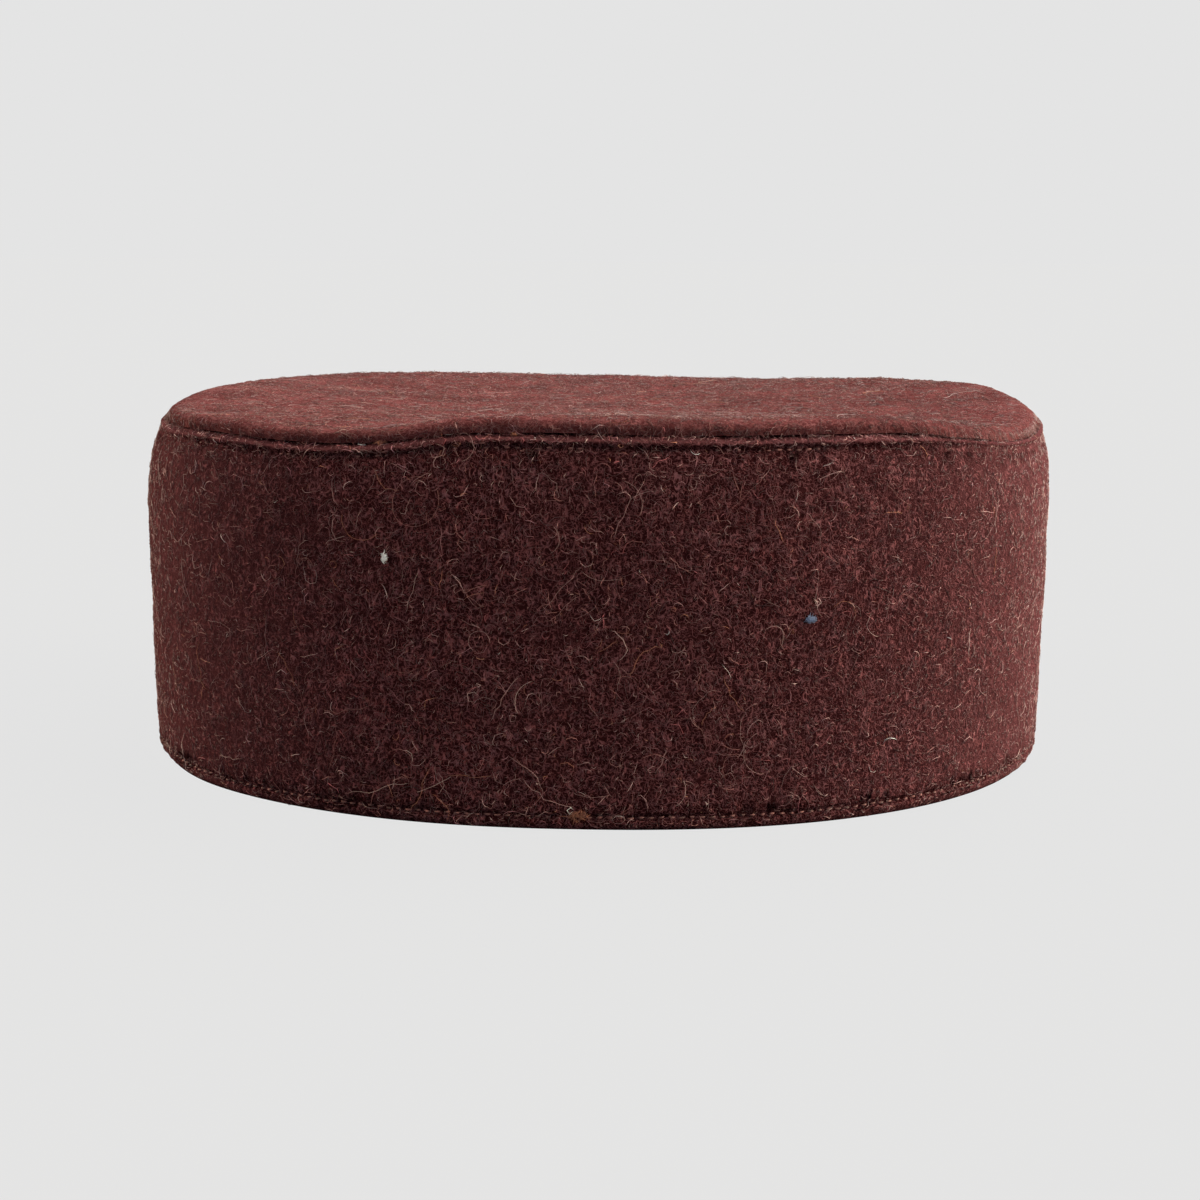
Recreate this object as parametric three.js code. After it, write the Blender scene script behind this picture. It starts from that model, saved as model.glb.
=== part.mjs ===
// A soft flat-topped cap sewn from thick brushed wool cloth, standing on its rim.
// Two cloth pieces make it: an oval crown panel, and a side band closed by an upright seam at the back.
// The band's top edge is folded in and topstitched under the crown. Its lower edge is turned up as a hem.
// Units are millimetres. +Z is up, +X points to the back seam, and the origin is the middle of the rim.
import * as THREE from "three";

// Overall sizes, outside.
const LENGTH = 206;
const WIDTH = 173;
const HEIGHT = 77.5;
const CORNER_POWER = 2.25; // 2 is a plain ellipse, and more is squarer at the four corners

// Cloth and sewing.
const CLOTH = 2.2;
const GAP = 0.3; // clearance between two pieces, or two layers of one piece
const SEAM_DROP = 2.8; // crown seam below the top of the cap
const TOP_STITCH = 2.5; // topstitching below the crown seam
const HEM_STITCH = 2.9; // hem stitching above the rim
const STITCH_SINK = 0.6; // how deep a row of stitches pulls the cloth in
const STITCH_SPAN = 0.8; // half the width of that groove
const SEAM_ALLOWANCE = 7; // cloth turned down inside, below the crown seam
const HEM_TURN = 10; // cloth turned up inside, above the rim
const RIM_FLAT = 1.8; // width of the band's flat foot
const ROLL_REACH = 3.05; // how far the crown's rolled edge reaches in from its widest point
const ROLL_INSET = 0.35; // the rolled edge behind the face of the band
const INNER_BEND = 2.2; // bend inside, where the crown's cloth turns down
const SHOULDER_LEAN = 2.4; // how far the wall leans in at the crown
const SHOULDER_START = 0.7; // share of the height where that lean starts
const CROWN_SAG = 2.6; // how far the middle of the crown hangs below its edge
const SAG_POWER = 1.5; // more is a flatter rim round a rounder hollow
const EDGE_BORDER = 9; // width of the crown's level border, before the sag

// The upright seam that closes the band, at +X.
const BACK_SEAM_DEPTH = 0.7;
const BACK_SEAM_REACH = 1.3; // half the width of its groove
const BACK_ALLOWANCE = 8; // cloth pressed open on each side of it, inside
const BACK_ALLOWANCE_THICK = 1.5;

// How the soft top edge rises, dips and leans in round the cap. Turns are degrees from +X,
// lifts are shares of HEIGHT, and leans are shares of SHOULDER_LEAN.
const EDGE_SHAPE = [
  { turn: 0, lift: -0.024, lean: 0.6 },
  { turn: 24, lift: 0.018, lean: 0.6 },
  { turn: 64, lift: -0.009, lean: 1 },
  { turn: 90, lift: -0.008, lean: 1 },
  { turn: 140, lift: 0.008, lean: 1 },
  { turn: 180, lift: -0.014, lean: 1.4 },
  { turn: 205, lift: -0.015, lean: 1.3 },
  { turn: 217, lift: -0.008, lean: 1 },
  { turn: 234, lift: -0.018, lean: 0.9 },
  { turn: 245, lift: -0.006, lean: 0.9 },
  { turn: 256, lift: 0.021, lean: 0.9 },
  { turn: 288, lift: 0.016, lean: 0.9 },
  { turn: 311, lift: 0.014, lean: 0.8 },
  { turn: 335, lift: -0.022, lean: 0.6 },
];

// Upright creases and dents in the wall. Proud is a share of CLOTH, outwards, and spread is in degrees.
const WALL_FOLDS = [
  { turn: 215, proud: 0.5, spread: 11 },
  { turn: 140, proud: 0.18, spread: 16 },
  { turn: 310, proud: -0.14, spread: 20 },
  { turn: 60, proud: -0.12, spread: 22 },
];

// How finely the solids are faceted.
const SECTIONS = 72;
const LEAST_TURN = 0.3; // closest that two sections lie, in degrees
const CORNER_STEPS = 3;
const BEND_STEPS = 2;
const FOLD_STEPS = 6;
const ROLL_STEPS = 4;
const WALL_HEIGHTS = [0, 0.35, 0.68, 0.78, 0.86, 0.93, 1]; // shares of the wall between the two stitch rows
const CROWN_RINGS = [0.3, 0.6, 0.85, 1]; // shares of the way from the middle to the level border

const ROLL_END = -20; // the rolled edge ends in the seam at this angle below its widest point
const SEAM_END = 60; // and the cloth under it starts at this angle over the band's fold

const FOLDED = 2 * CLOTH + GAP; // two layers of the band
const SEAM_Z = HEIGHT - SEAM_DROP;

// A smooth closed curve through a table's rows, read at a turn in degrees.
function readTable(rows, column, turn) {
  const count = rows.length;
  const at = (k) => rows[((k % count) + count) % count];
  const turnAt = (k) => at(k).turn + 360 * Math.floor(k / count);
  const slopeAt = (k) => (at(k + 1)[column] - at(k - 1)[column]) / (turnAt(k + 1) - turnAt(k - 1));
  let start = 0;
  while (start < count - 1 && turnAt(start + 1) <= turn) start += 1;
  const span = turnAt(start + 1) - turnAt(start);
  const t = (turn - turnAt(start)) / span;
  const ease = t * t * (3 - 2 * t);
  return (
    at(start)[column] * (1 - ease) +
    at(start + 1)[column] * ease +
    slopeAt(start) * span * t * (1 - t) * (1 - t) -
    slopeAt(start + 1) * span * t * t * (1 - t)
  );
}

// Degrees from one turn to another, the short way round.
function turnBetween(from, to) {
  return ((((to - from + 180) % 360) + 360) % 360) - 180;
}

// How far the creases and dents push the wall out at a turn.
function foldAt(turn) {
  return WALL_FOLDS.reduce((sum, fold) => {
    const away = turnBetween(fold.turn, turn) / fold.spread;
    return sum + (fold.proud * CLOTH) / (1 + away * away);
  }, 0);
}

// How far the wall leans in at a turn and a height.
function leanAt(turn, z) {
  const start = SHOULDER_START * SEAM_Z;
  const share = Math.min(1, Math.max(0, (z - start) / (SEAM_Z - start)));
  return SHOULDER_LEAN * readTable(EDGE_SHAPE, "lean", turn) * share * share;
}

// The outline's radius at a turn in radians.
function outlineRadius(angle) {
  const along = Math.abs(Math.cos(angle) / (LENGTH / 2)) ** CORNER_POWER;
  const across = Math.abs(Math.sin(angle) / (WIDTH / 2)) ** CORNER_POWER;
  return (along + across) ** (-1 / CORNER_POWER);
}

// A point on the cap: out is measured square to the wall from its outer face, and z from the rim.
function place(turn, out, z) {
  const angle = THREE.MathUtils.degToRad(turn);
  const radius = outlineRadius(angle);
  const point = new THREE.Vector2(radius * Math.cos(angle), radius * Math.sin(angle));
  const power = CORNER_POWER - 1;
  const normal = new THREE.Vector2(
    Math.sign(point.x) * Math.abs(point.x / (LENGTH / 2)) ** power * WIDTH,
    Math.sign(point.y) * Math.abs(point.y / (WIDTH / 2)) ** power * LENGTH,
  ).normalize();
  point.addScaledVector(normal, out - leanAt(turn, z) + foldAt(turn));
  const lift = readTable(EDGE_SHAPE, "lift", turn);
  return new THREE.Vector3(point.x, point.y, z * (1 + (lift * z) / HEIGHT));
}

// Points along an elliptic arc, as { out, z }, from one angle to another in degrees.
function arc(centre, reach, rise, from, to, steps) {
  return Array.from({ length: steps + 1 }, (_, k) => {
    const angle = THREE.MathUtils.degToRad(from + ((to - from) * k) / steps);
    return { out: centre.out + reach * Math.cos(angle), z: centre.z + rise * Math.sin(angle) };
  });
}

// The rounded fold along the top of the band springs from the upper lip of the topstitching.
const FOLD_RISE = TOP_STITCH - STITCH_SPAN;
const FOLD_CENTRE = { out: -FOLDED / 2, z: SEAM_Z - FOLD_RISE };

// The band's closed section at a turn, anticlockwise from the outer edge of its foot.
function bandSection(turn) {
  const fromSeam = THREE.MathUtils.degToRad(Math.abs(turnBetween(0, turn))) * (LENGTH / 2);
  const groove = BACK_SEAM_DEPTH * Math.max(0, 1 - fromSeam / BACK_SEAM_REACH);
  const pressed = fromSeam < BACK_ALLOWANCE + GAP / 2 ? BACK_ALLOWANCE_THICK : 0;
  const inside = -CLOTH - pressed;
  const corner = (FOLDED - RIM_FLAT) / 2;
  const footRise = HEM_STITCH - STITCH_SPAN;
  const slitFoot = HEM_STITCH + STITCH_SPAN;
  const slitTop = SEAM_Z - TOP_STITCH - STITCH_SPAN;
  const outer = [
    ...arc({ out: -corner, z: footRise }, corner, footRise, -90, 0, CORNER_STEPS),
    { out: -STITCH_SINK, z: HEM_STITCH },
    ...WALL_HEIGHTS.map((share) => ({ out: 0, z: slitFoot + share * (slitTop - slitFoot) })),
    { out: -STITCH_SINK, z: SEAM_Z - TOP_STITCH },
  ].map((point) => ({ out: point.out - groove, z: point.z }));
  const inner = [
    { out: -FOLDED, z: SEAM_Z - SEAM_ALLOWANCE },
    { out: -CLOTH - GAP, z: SEAM_Z - SEAM_ALLOWANCE },
    { out: -CLOTH - GAP, z: slitTop },
    { out: -CLOTH, z: slitTop },
    { out: -CLOTH, z: SEAM_Z - SEAM_ALLOWANCE - GAP },
    { out: inside, z: SEAM_Z - SEAM_ALLOWANCE - 2 * GAP },
    { out: inside, z: SHOULDER_START * SEAM_Z },
    { out: inside, z: HEM_TURN + 2 * GAP },
    { out: -CLOTH, z: HEM_TURN + GAP },
    { out: -CLOTH, z: slitFoot },
    { out: -CLOTH - GAP, z: slitFoot },
    { out: -CLOTH - GAP, z: HEM_TURN },
    { out: -FOLDED, z: HEM_TURN },
  ];
  const foot = arc({ out: corner - FOLDED, z: footRise }, corner, footRise, 180, 270, CORNER_STEPS);
  const fold = arc(FOLD_CENTRE, FOLDED / 2, FOLD_RISE, 0, 180, FOLD_STEPS);
  return [...outer, ...fold, ...inner, ...foot].map((point) => place(turn, point.out, point.z));
}

// The crown's section at a turn, from the middle of its lower face round its edge to the middle of its top.
function crownSection(turn) {
  const inner = -FOLDED - GAP - CLOTH; // inner face of the cloth turned down inside
  const rollZ = SEAM_Z + SEAM_DROP / 3;
  const rollCentre = { out: -ROLL_INSET - ROLL_REACH, z: rollZ };
  const roll = arc(rollCentre, ROLL_REACH, HEIGHT - rollZ, 90, ROLL_END, ROLL_STEPS);
  const under = arc(FOLD_CENTRE, FOLDED / 2 + GAP, FOLD_RISE + GAP, SEAM_END, 180, FOLD_STEPS - 1);
  const bendCentre = { out: inner - INNER_BEND, z: HEIGHT - CLOTH - INNER_BEND };
  const edge = [
    ...roll,
    ...under,
    { out: -FOLDED - GAP, z: SEAM_Z - SEAM_ALLOWANCE },
    { out: inner, z: SEAM_Z - SEAM_ALLOWANCE },
    ...arc(bendCentre, INNER_BEND, INNER_BEND, 0, 90, BEND_STEPS),
    { out: -EDGE_BORDER - CLOTH, z: HEIGHT - CLOTH },
  ].map((point) => place(turn, point.out, point.z));
  const ring = (share, drop) => {
    const border = place(turn, -EDGE_BORDER - drop, HEIGHT);
    const lift = border.z - HEIGHT;
    const z = HEIGHT - drop + lift * share * share - CROWN_SAG * (1 - share * share) ** SAG_POWER;
    return new THREE.Vector3(border.x * share, border.y * share, z);
  };
  const upper = CROWN_RINGS.map((share) => ring(share, 0));
  const lower = CROWN_RINGS.slice(0, -1).map((share) => ring(share, CLOTH)).reverse();
  const middle = (drop) => new THREE.Vector3(0, 0, HEIGHT - CROWN_SAG - drop);
  return [middle(0), ...upper, ...edge, ...lower, middle(CLOTH)].reverse();
}

// The turns of the sections: evenly round the cap, with a few more at the edges of the back seam.
function sectionTurns() {
  const even = Array.from({ length: SECTIONS }, (_, k) => (360 * k) / SECTIONS);
  const reaches = [BACK_SEAM_REACH, BACK_ALLOWANCE, BACK_ALLOWANCE + GAP];
  const degrees = reaches.map((reach) => THREE.MathUtils.radToDeg(reach / (LENGTH / 2)));
  const near = degrees.flatMap((turn) => [turn, 360 - turn]);
  const spare = even.filter((turn) => near.every((other) => Math.abs(other - turn) > LEAST_TURN));
  return [...spare, ...near].sort((a, b) => a - b);
}

// Joins sections, one at each turn, into a closed surface. With poles, all sections share their end points.
function skin(sections, hasPoles) {
  const rows = sections[0].length;
  const vertices = [];
  const index = [];
  const ids = sections.map((section, s) =>
    section.map((point, row) => {
      if (hasPoles && s > 0 && (row === 0 || row === rows - 1)) return row === 0 ? 0 : rows - 1;
      vertices.push(point.x, point.y, point.z);
      return vertices.length / 3 - 1;
    }),
  );
  const triangle = (a, b, c) => {
    if (a !== b && b !== c && c !== a) index.push(a, b, c);
  };
  for (let s = 0; s < sections.length; s += 1) {
    const here = ids[s];
    const next = ids[(s + 1) % sections.length];
    for (let row = 0; row < (hasPoles ? rows - 1 : rows); row += 1) {
      const up = (row + 1) % rows;
      triangle(here[row], next[row], next[up]);
      triangle(here[row], next[up], here[up]);
    }
  }
  const geometry = new THREE.BufferGeometry();
  geometry.setAttribute("position", new THREE.Float32BufferAttribute(vertices, 3));
  geometry.setIndex(index);
  geometry.computeVertexNormals();
  return geometry;
}

function clothMesh(name, geometry, colour) {
  const mesh = new THREE.Mesh(
    geometry,
    new THREE.MeshStandardMaterial({ color: colour, roughness: 0.95, metalness: 0 }),
  );
  mesh.name = name;
  return mesh;
}

const turns = sectionTurns();
const cap = new THREE.Group();
cap.add(clothMesh("side_band", skin(turns.map(bandSection), false), 0x4a2a29));
cap.add(clothMesh("crown_panel", skin(turns.map(crownSection), true), 0x58332f));

export default cap;
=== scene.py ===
"""A flat-topped cap of thick brushed wool: its cloth, seams, stitches, nap, stray hairs and lint, on a pale floor."""
import math
from typing import NamedTuple

import bpy
import numpy as np
from bpy.props import FloatProperty, FloatVectorProperty, IntProperty, PointerProperty
from mathutils import Matrix, Vector


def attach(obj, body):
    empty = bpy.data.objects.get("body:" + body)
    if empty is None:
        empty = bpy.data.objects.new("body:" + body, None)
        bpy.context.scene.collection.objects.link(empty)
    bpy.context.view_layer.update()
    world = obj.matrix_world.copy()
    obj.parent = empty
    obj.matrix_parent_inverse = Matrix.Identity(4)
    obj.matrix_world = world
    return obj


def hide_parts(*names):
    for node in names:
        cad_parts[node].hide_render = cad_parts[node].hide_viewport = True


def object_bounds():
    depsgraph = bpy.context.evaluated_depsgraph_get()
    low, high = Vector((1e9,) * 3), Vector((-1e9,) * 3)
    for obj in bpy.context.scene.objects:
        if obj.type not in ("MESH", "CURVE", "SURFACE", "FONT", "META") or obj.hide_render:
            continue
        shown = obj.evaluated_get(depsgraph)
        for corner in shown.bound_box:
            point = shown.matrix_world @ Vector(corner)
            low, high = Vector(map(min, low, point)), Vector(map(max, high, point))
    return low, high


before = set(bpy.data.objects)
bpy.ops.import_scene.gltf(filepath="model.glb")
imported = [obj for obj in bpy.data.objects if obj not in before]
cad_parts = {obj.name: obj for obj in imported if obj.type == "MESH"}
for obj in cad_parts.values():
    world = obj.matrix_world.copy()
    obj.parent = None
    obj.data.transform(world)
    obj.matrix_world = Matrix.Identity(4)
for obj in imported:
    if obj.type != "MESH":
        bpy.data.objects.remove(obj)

bl_info = {
    "name": "Kufi Cap",
    "version": (1, 0, 0),
    "blender": (4, 5, 0),
    "location": "3D View > Sidebar > Kufi Cap",
    "description": "Makes a brushed wool cap with its stitches, nap, stray hairs and lint, and a stage to see it on",
    "category": "Add Mesh",
}

CAD_LOW, CAD_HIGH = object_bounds()
CAD_SIZE = CAD_HIGH - CAD_LOW
FULL_TURN = 2 * math.pi
MM = 0.001
TINY = 1e-12
ON_FLOOR = 1e-6

# Where each kind of random draw starts, so that every run gives the same cap.
SEEDS = {
    "broad_lumps": 41,
    "fine_lumps": 42,
    "warmth": 46,
    "thin_places": 48,
    "worn_patches": 50,
    "stitches": 51,
    "crown_shade": 52,
    "seam_nap": 60,
    "nap": 61,
    "inside_nap": 71,
    "hairs": 81,
    "tufts": 101,
}


class EdgeRow(NamedTuple):
    """How the soft top edge lies at one turn: lift is a share of the height, and lean of the shoulder's lean."""

    turn: float
    lift: float
    lean: float


EDGE_SHAPE = (
    EdgeRow(0, -0.003, 0.2),
    EdgeRow(16, 0.016, 0.65),
    EdgeRow(28, 0.012, 0.45),
    EdgeRow(44, 0.002, 0.8),
    EdgeRow(64, -0.014, 1),
    EdgeRow(90, -0.012, 1),
    EdgeRow(138, 0.005, 1),
    EdgeRow(157, 0.002, 1.3),
    EdgeRow(180, 0.007, 1.75),
    EdgeRow(205, -0.015, 1.3),
    EdgeRow(217, -0.008, 1),
    EdgeRow(234, -0.018, 0.9),
    EdgeRow(245, -0.006, 0.9),
    EdgeRow(256, 0.024, 0.9),
    EdgeRow(288, 0.020, 0.9),
    EdgeRow(311, 0.016, 0.8),
    EdgeRow(335, -0.032, 1.25),
)


class FoldRow(NamedTuple):
    """An upright crease or dent in the wall: proud is a share of the cloth, outwards, and spread is in degrees."""

    turn: float
    proud: float
    spread: float


WALL_FOLDS = (
    FoldRow(215, 0.5, 11),
    FoldRow(140, 0.18, 16),
    FoldRow(310, -0.14, 20),
    FoldRow(60, -0.12, 22),
)


# Where the crown's seam closes up: middle of the stretch, half its width and its ramp, in degrees.
SEAM_ENDS = ((355, 50, 13), (180, 30, 13))


class HairRow(NamedTuple):
    """One long hair listed one by one: where it starts, its heading, length and bend, and its dye."""

    turn: float
    height: float
    heading: float
    length: float
    bend: float
    dye: str


# Height is a share of the cap's height, heading is in degrees from level, length in millimetres, and
# bend in turns along the whole hair.
PICKED_HAIRS = (
    HairRow(250.8, 0.866, 150, 27, 0.93, "chestnut"),
    HairRow(249.0, 0.085, 22, 8, 0.03, "pale"),
    HairRow(258.5, 0.47, 80, 9, 0.7, "ash"),
    HairRow(282.8, 0.135, 300, 6, -0.25, "pale"),
    HairRow(266.0, 0.69, 20, 6, 0.35, "ash"),
    HairRow(240.0, 0.79, 260, 11, 0.4, "rust"),
    HairRow(269.0, 0.1, 340, 7, 0.1, "ash"),
    HairRow(262.0, 0.3, 120, 8, -0.3, "pale"),
    HairRow(292.0, 0.25, 200, 12, 0.45, "ash"),
    HairRow(301.0, 0.55, 60, 8, -0.5, "rust"),
    HairRow(233.0, 0.33, 100, 8, 0.12, "rust"),
    HairRow(275.0, 0.86, 350, 8, -0.3, "ash"),
    HairRow(255.0, 0.9, 10, 9, 0.5, "ash"),
    HairRow(318.0, 0.72, 250, 7, 0.2, "pale"),
    HairRow(90.0, 0.6, 30, 18, 0.7, "ash"),
    HairRow(150.0, 0.4, 300, 12, -0.4, "rust"),
)


class TuftRow(NamedTuple):
    """A small tuft of fibres caught in the nap. Width and drop are in millimetres."""

    name: str
    turn: float
    height: float
    width: float
    drop: float
    strands: int
    dye: str


TUFTS = (
    TuftRow("white_lint", 245.3, 0.68, 0.6, 1.5, 110, "white"),
    TuftRow("blue_lint", 298.3, 0.526, 1.5, 0.8, 90, "blue"),
    TuftRow("rust_tuft_left", 244.2, 0.962, 2.0, 0.9, 40, "rust"),
    TuftRow("rust_tuft_right", 261.3, 0.962, 1.0, 1.4, 30, "rust"),
    TuftRow("rust_tuft_hem", 269.4, 0.04, 3.2, 1.4, 60, "rust"),
)


class DyeRow(NamedTuple):
    """A fibre colour, as linear red, green and blue, and its share of the nap on the band and the crown."""

    name: str
    colour: tuple
    share: float
    crown_share: float


DYES = (
    DyeRow("maroon", (0.142, 0.044, 0.050), 0.32, 0.50),
    DyeRow("wine", (0.092, 0.0195, 0.024), 0.19, 0.12),
    DyeRow("crimson", (0.250, 0.051, 0.057), 0.05, 0.02),
    DyeRow("chestnut", (0.238, 0.080, 0.071), 0.10, 0.27),
    DyeRow("soot", (0.030, 0.006, 0.007), 0.12, 0.01),
    DyeRow("ash", (0.310, 0.160, 0.152), 0.19, 0.07),
    DyeRow("rust", (0.360, 0.120, 0.066), 0.014, 0.003),
    DyeRow("pale", (0.520, 0.330, 0.300), 0.014, 0.002),
    DyeRow("white", (0.950, 0.940, 0.930), 0.0, 0.0),
    DyeRow("blue", (0.330, 0.400, 0.600), 0.0, 0.0),
)

# What wear and dust do to the crown's colours, with a painted sheen that makes them paler as well.
CROWN_TONE = (1.01, 1.13, 1.03)

# The crown's oval as a share of its box, how soft its wool looks, and the size of its map in metres.
OVAL_SHARE, CROWN_SOFTER, CROWN_MAP_SIZE = 0.82, 0.7, (0.44, 0.22)

# How light and how mixed the wool is, as mean and spread of a logarithm.
BAND_SHADE, CROWN_SHADE = (-0.06, 0.45), (-0.40, 0.12)

# How much the redder patches of the wool have of some dyes.
WARMTH_OF = (("chestnut", 0.8), ("rust", 1.5), ("ash", -0.7), ("soot", -0.4), ("pale", -0.3))

# Dyes of the stray hairs and their shares.
HAIR_DYES = (("ash", 0.40), ("rust", 0.14), ("pale", 0.08), ("chestnut", 0.38))


class FibreRow(NamedTuple):
    """How one kind of fibre grows: knots along it, spread of its length, bend and kink, and its stand,
    thickness and brightness on the band and the crown, as shares of the nap's."""

    knots: int
    spread: float
    bend: float
    kink: float
    stand: float
    thickness: float
    gain: float
    crown_gain: float


SEAM_FIBRE = FibreRow(4, 0.3, 0.25, 0.5, 0.6, 0.85, 0.8, 0.8)
SHORT_FIBRE = FibreRow(3, 0.3, 0.2, 0.5, 0.8, 0.95, 0.94, 0.94)
CURLED_FIBRE = FibreRow(5, 0.4, 0.5, 0.22, 1.0, 0.8, 1.35, 1.0)
INSIDE_FIBRE = FibreRow(4, 0.4, 0.35, 0.4, 0.7, 1.0, 1.0, 1.0)
STRAY_HAIR = FibreRow(9, 0.35, 0.35, 0.28, 1.5, 0.85, 1.0, 0.7)
PICKED_KNOTS, PICKED_THICKNESS = 25, 0.75
TUFT_KNOTS, TUFT_THICKNESS = 7, 0.9

# How far apart two points are that give a direction off or along the cloth.
FEELER = 0.0005
SECTION_STEP = 0.0004

# How far fibres may pass the two ends of their patch, and how deep they start in the cloth.
PAST_START, PAST_END, ROOT_DEPTH = 0.0008, 0.0003, 0.00005

# How much painted shade darkens fibres in the darkest hollow; the same mask paints light on the ridge.
HOLLOW_DARKENS = 0.8


class LampRow(NamedTuple):
    """A far soft lamp: its turn round the cap and rise above the floor, strength, width and colour."""

    name: str
    turn: float
    rise: float
    strength: float
    width: float
    colour: tuple


LAMPS = (
    LampRow("right_light", 3, 18, 12.8, 58, (1.0, 0.94, 0.75)),
    LampRow("left_light", 170, 20, 5.9, 60, (1.0, 0.84, 0.64)),
    LampRow("back_light", 55, 50, 5.0, 50, (1.0, 1.0, 1.0)),
    LampRow("front_light", 270, 15, 1.2, 60, (0.86, 1.02, 1.12)),
)


def length_of(name, description, default):
    """A length setting, in metres."""
    return FloatProperty(name=name, description=description, default=default, min=0, precision=5, unit="LENGTH")


def share_of(name, description, default):
    """A setting without a unit."""
    return FloatProperty(name=name, description=description, default=default, precision=3)


def colour_of(name, description, default):
    """A colour setting, linear."""
    return FloatVectorProperty(
        name=name, description=description, default=default, size=3, min=0, max=1, subtype="COLOR"
    )


class KufiShape(bpy.types.PropertyGroup):
    """Sizes of the cap and its sewing. Up to the back seam's, they are close to the solid model's."""

    length: length_of("Length", "Longer way across the oval, outside", round(CAD_SIZE.x, 3))
    width: length_of("Width", "Shorter way across the oval, outside", round(CAD_SIZE.y, 3))
    height: length_of("Height", "From the rim to the crown's edge", 0.0775)
    corner_power: share_of("Corner Power", "2 is an ellipse, and more is squarer", 2.25)
    cloth: length_of("Cloth", "Thickness of the cloth", 0.0022)
    gap: length_of("Gap", "Clearance between two layers", 0.0003)
    seam_drop: length_of("Seam Drop", "Crown seam below the top", 0.0028)
    top_stitch: length_of("Topstitching", "Row of stitches below the crown seam", 0.0025)
    hem_stitch: length_of("Hem Stitching", "Row of stitches above the rim", 0.0029)
    stitch_sink: length_of("Stitch Sink", "How deep a row of stitches pulls the cloth in", 0.00062)
    stitch_span: length_of("Stitch Span", "Half the width of that groove", 0.0008)
    seam_allowance: length_of("Seam Allowance", "Cloth turned down inside", 0.007)
    hem_turn: length_of("Hem Turn", "Cloth turned up inside", 0.010)
    rim_flat: length_of("Rim Flat", "Width of the band's flat foot", 0.0018)
    roll_reach: length_of("Roll Reach", "How far the crown's rolled edge reaches in", 0.00305)
    roll_inset: length_of("Roll Inset", "The rolled edge behind the face of the band", 0.00035)
    inner_bend: length_of("Inner Bend", "Bend where the crown's cloth turns down inside", 0.0022)
    shoulder_lean: length_of("Shoulder Lean", "How far the wall leans in at the crown", 0.0024)
    shoulder_start: share_of("Shoulder Start", "Share of the height where the lean starts", 0.7)
    crown_sag: length_of("Crown Sag", "How far the middle of the crown hangs", 0.0026)
    sag_power: share_of("Sag Power", "More is a flatter rim round the hollow", 1.5)
    edge_border: length_of("Edge Border", "Width of the crown's level border", 0.009)
    back_depth: length_of("Back Seam Depth", "Groove of the seam that closes the band", 0.0007)
    back_reach: length_of("Back Seam Reach", "Half the width of that groove", 0.0013)
    back_allowance: length_of("Back Allowance", "Cloth pressed open on each side of it, inside", 0.008)
    back_pressed: length_of("Back Allowance Thickness", "How proud that cloth stands inside", 0.0015)
    lump: length_of("Lumps", "How far the fulled cloth swells and dips", 0.00014)
    nap_depth: length_of("Nap Depth", "How far the cloth's ground lies below its napped face", 0.00038)
    end_tuck: length_of("End Tuck", "How much softer the crown's edge is at the two ends", 0.0015)
    tip_lean: length_of("Tip Lean", "How much further the wall's top leans in at the two ends", 0.0023)
    tip_reach: length_of("Tip Reach", "How far down the wall that goes", 0.009)
    set_back: length_of("Set Back", "How far the foot of the crown's edge lies behind the ridge", 0.0005)
    ridge_swell: length_of("Ridge Swell", "How far the ridge between seam and stitches swells", 0.0003)


class KufiThread(bpy.types.PropertyGroup):
    """The sewing thread and its stitches."""

    pitch: length_of("Pitch", "From one stitch to the next", 0.0020)
    stitch: length_of("Stitch", "Length of thread that shows", 0.00135)
    thickness: length_of("Thickness", "Thickness of the thread", 0.00042)
    sunk: length_of("Sunk", "How far below the cloth's face the hem's thread lies", 0.00072)
    sunk_deep: length_of("Sunk Deep", "How far below the cloth's face the thread under the seam lies", 0.00106)
    colour: colour_of("Thread", "Colour of the thread", (0.150, 0.050, 0.041))


class KufiNap(bpy.types.PropertyGroup):
    """The brushed surface of the wool."""

    short_count: IntProperty(name="Short Fibres", description="Short fibres close to the cloth", default=52000)
    curl_count: IntProperty(name="Curled Fibres", description="Longer curled fibres", default=18500)
    hair_count: IntProperty(name="Stray Hairs", description="Long hairs that lie on the nap", default=420)
    seam_count: IntProperty(name="Seam Fibres", description="Fibres that bridge the crown's seam", default=3200)
    inside_count: IntProperty(name="Inside Fibres", description="Fibres on the inner faces", default=1800)
    short_length: length_of("Short Length", "Mean length of a short fibre", 0.0014)
    curl_length: length_of("Curl Length", "Mean length of a curled fibre", 0.0030)
    hair_length: length_of("Hair Length", "Mean length of a stray hair", 0.008)
    thickness: length_of("Thickness", "Thickness of a fibre", 0.00012)
    stand: length_of("Stand", "How far the nap stands off the cloth", 0.00042)
    # The colour in the gaps is partly the wool's own dark and partly painted shade between the fibres.
    cloth_dark: colour_of("Cloth in the Gaps", "Colour deep between the fibres", (0.014, 0.0026, 0.0030))
    cloth_mid: colour_of("Cloth", "Main colour of the wool", (0.047, 0.0110, 0.0126))
    cloth_light: colour_of("Cloth on Strands", "Colour of the upper strands", (0.250, 0.092, 0.100))
    # Painted light: how much lighter the crown's wool is painted, for the light and sheen on its top.
    crown_painted_light: share_of("Crown Lighter", "How much lighter the crown's wool is worn", 1.25)
    pit_pitch: length_of("Pit Pitch", "From one pit of the weave to the next", 0.0017)


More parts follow.
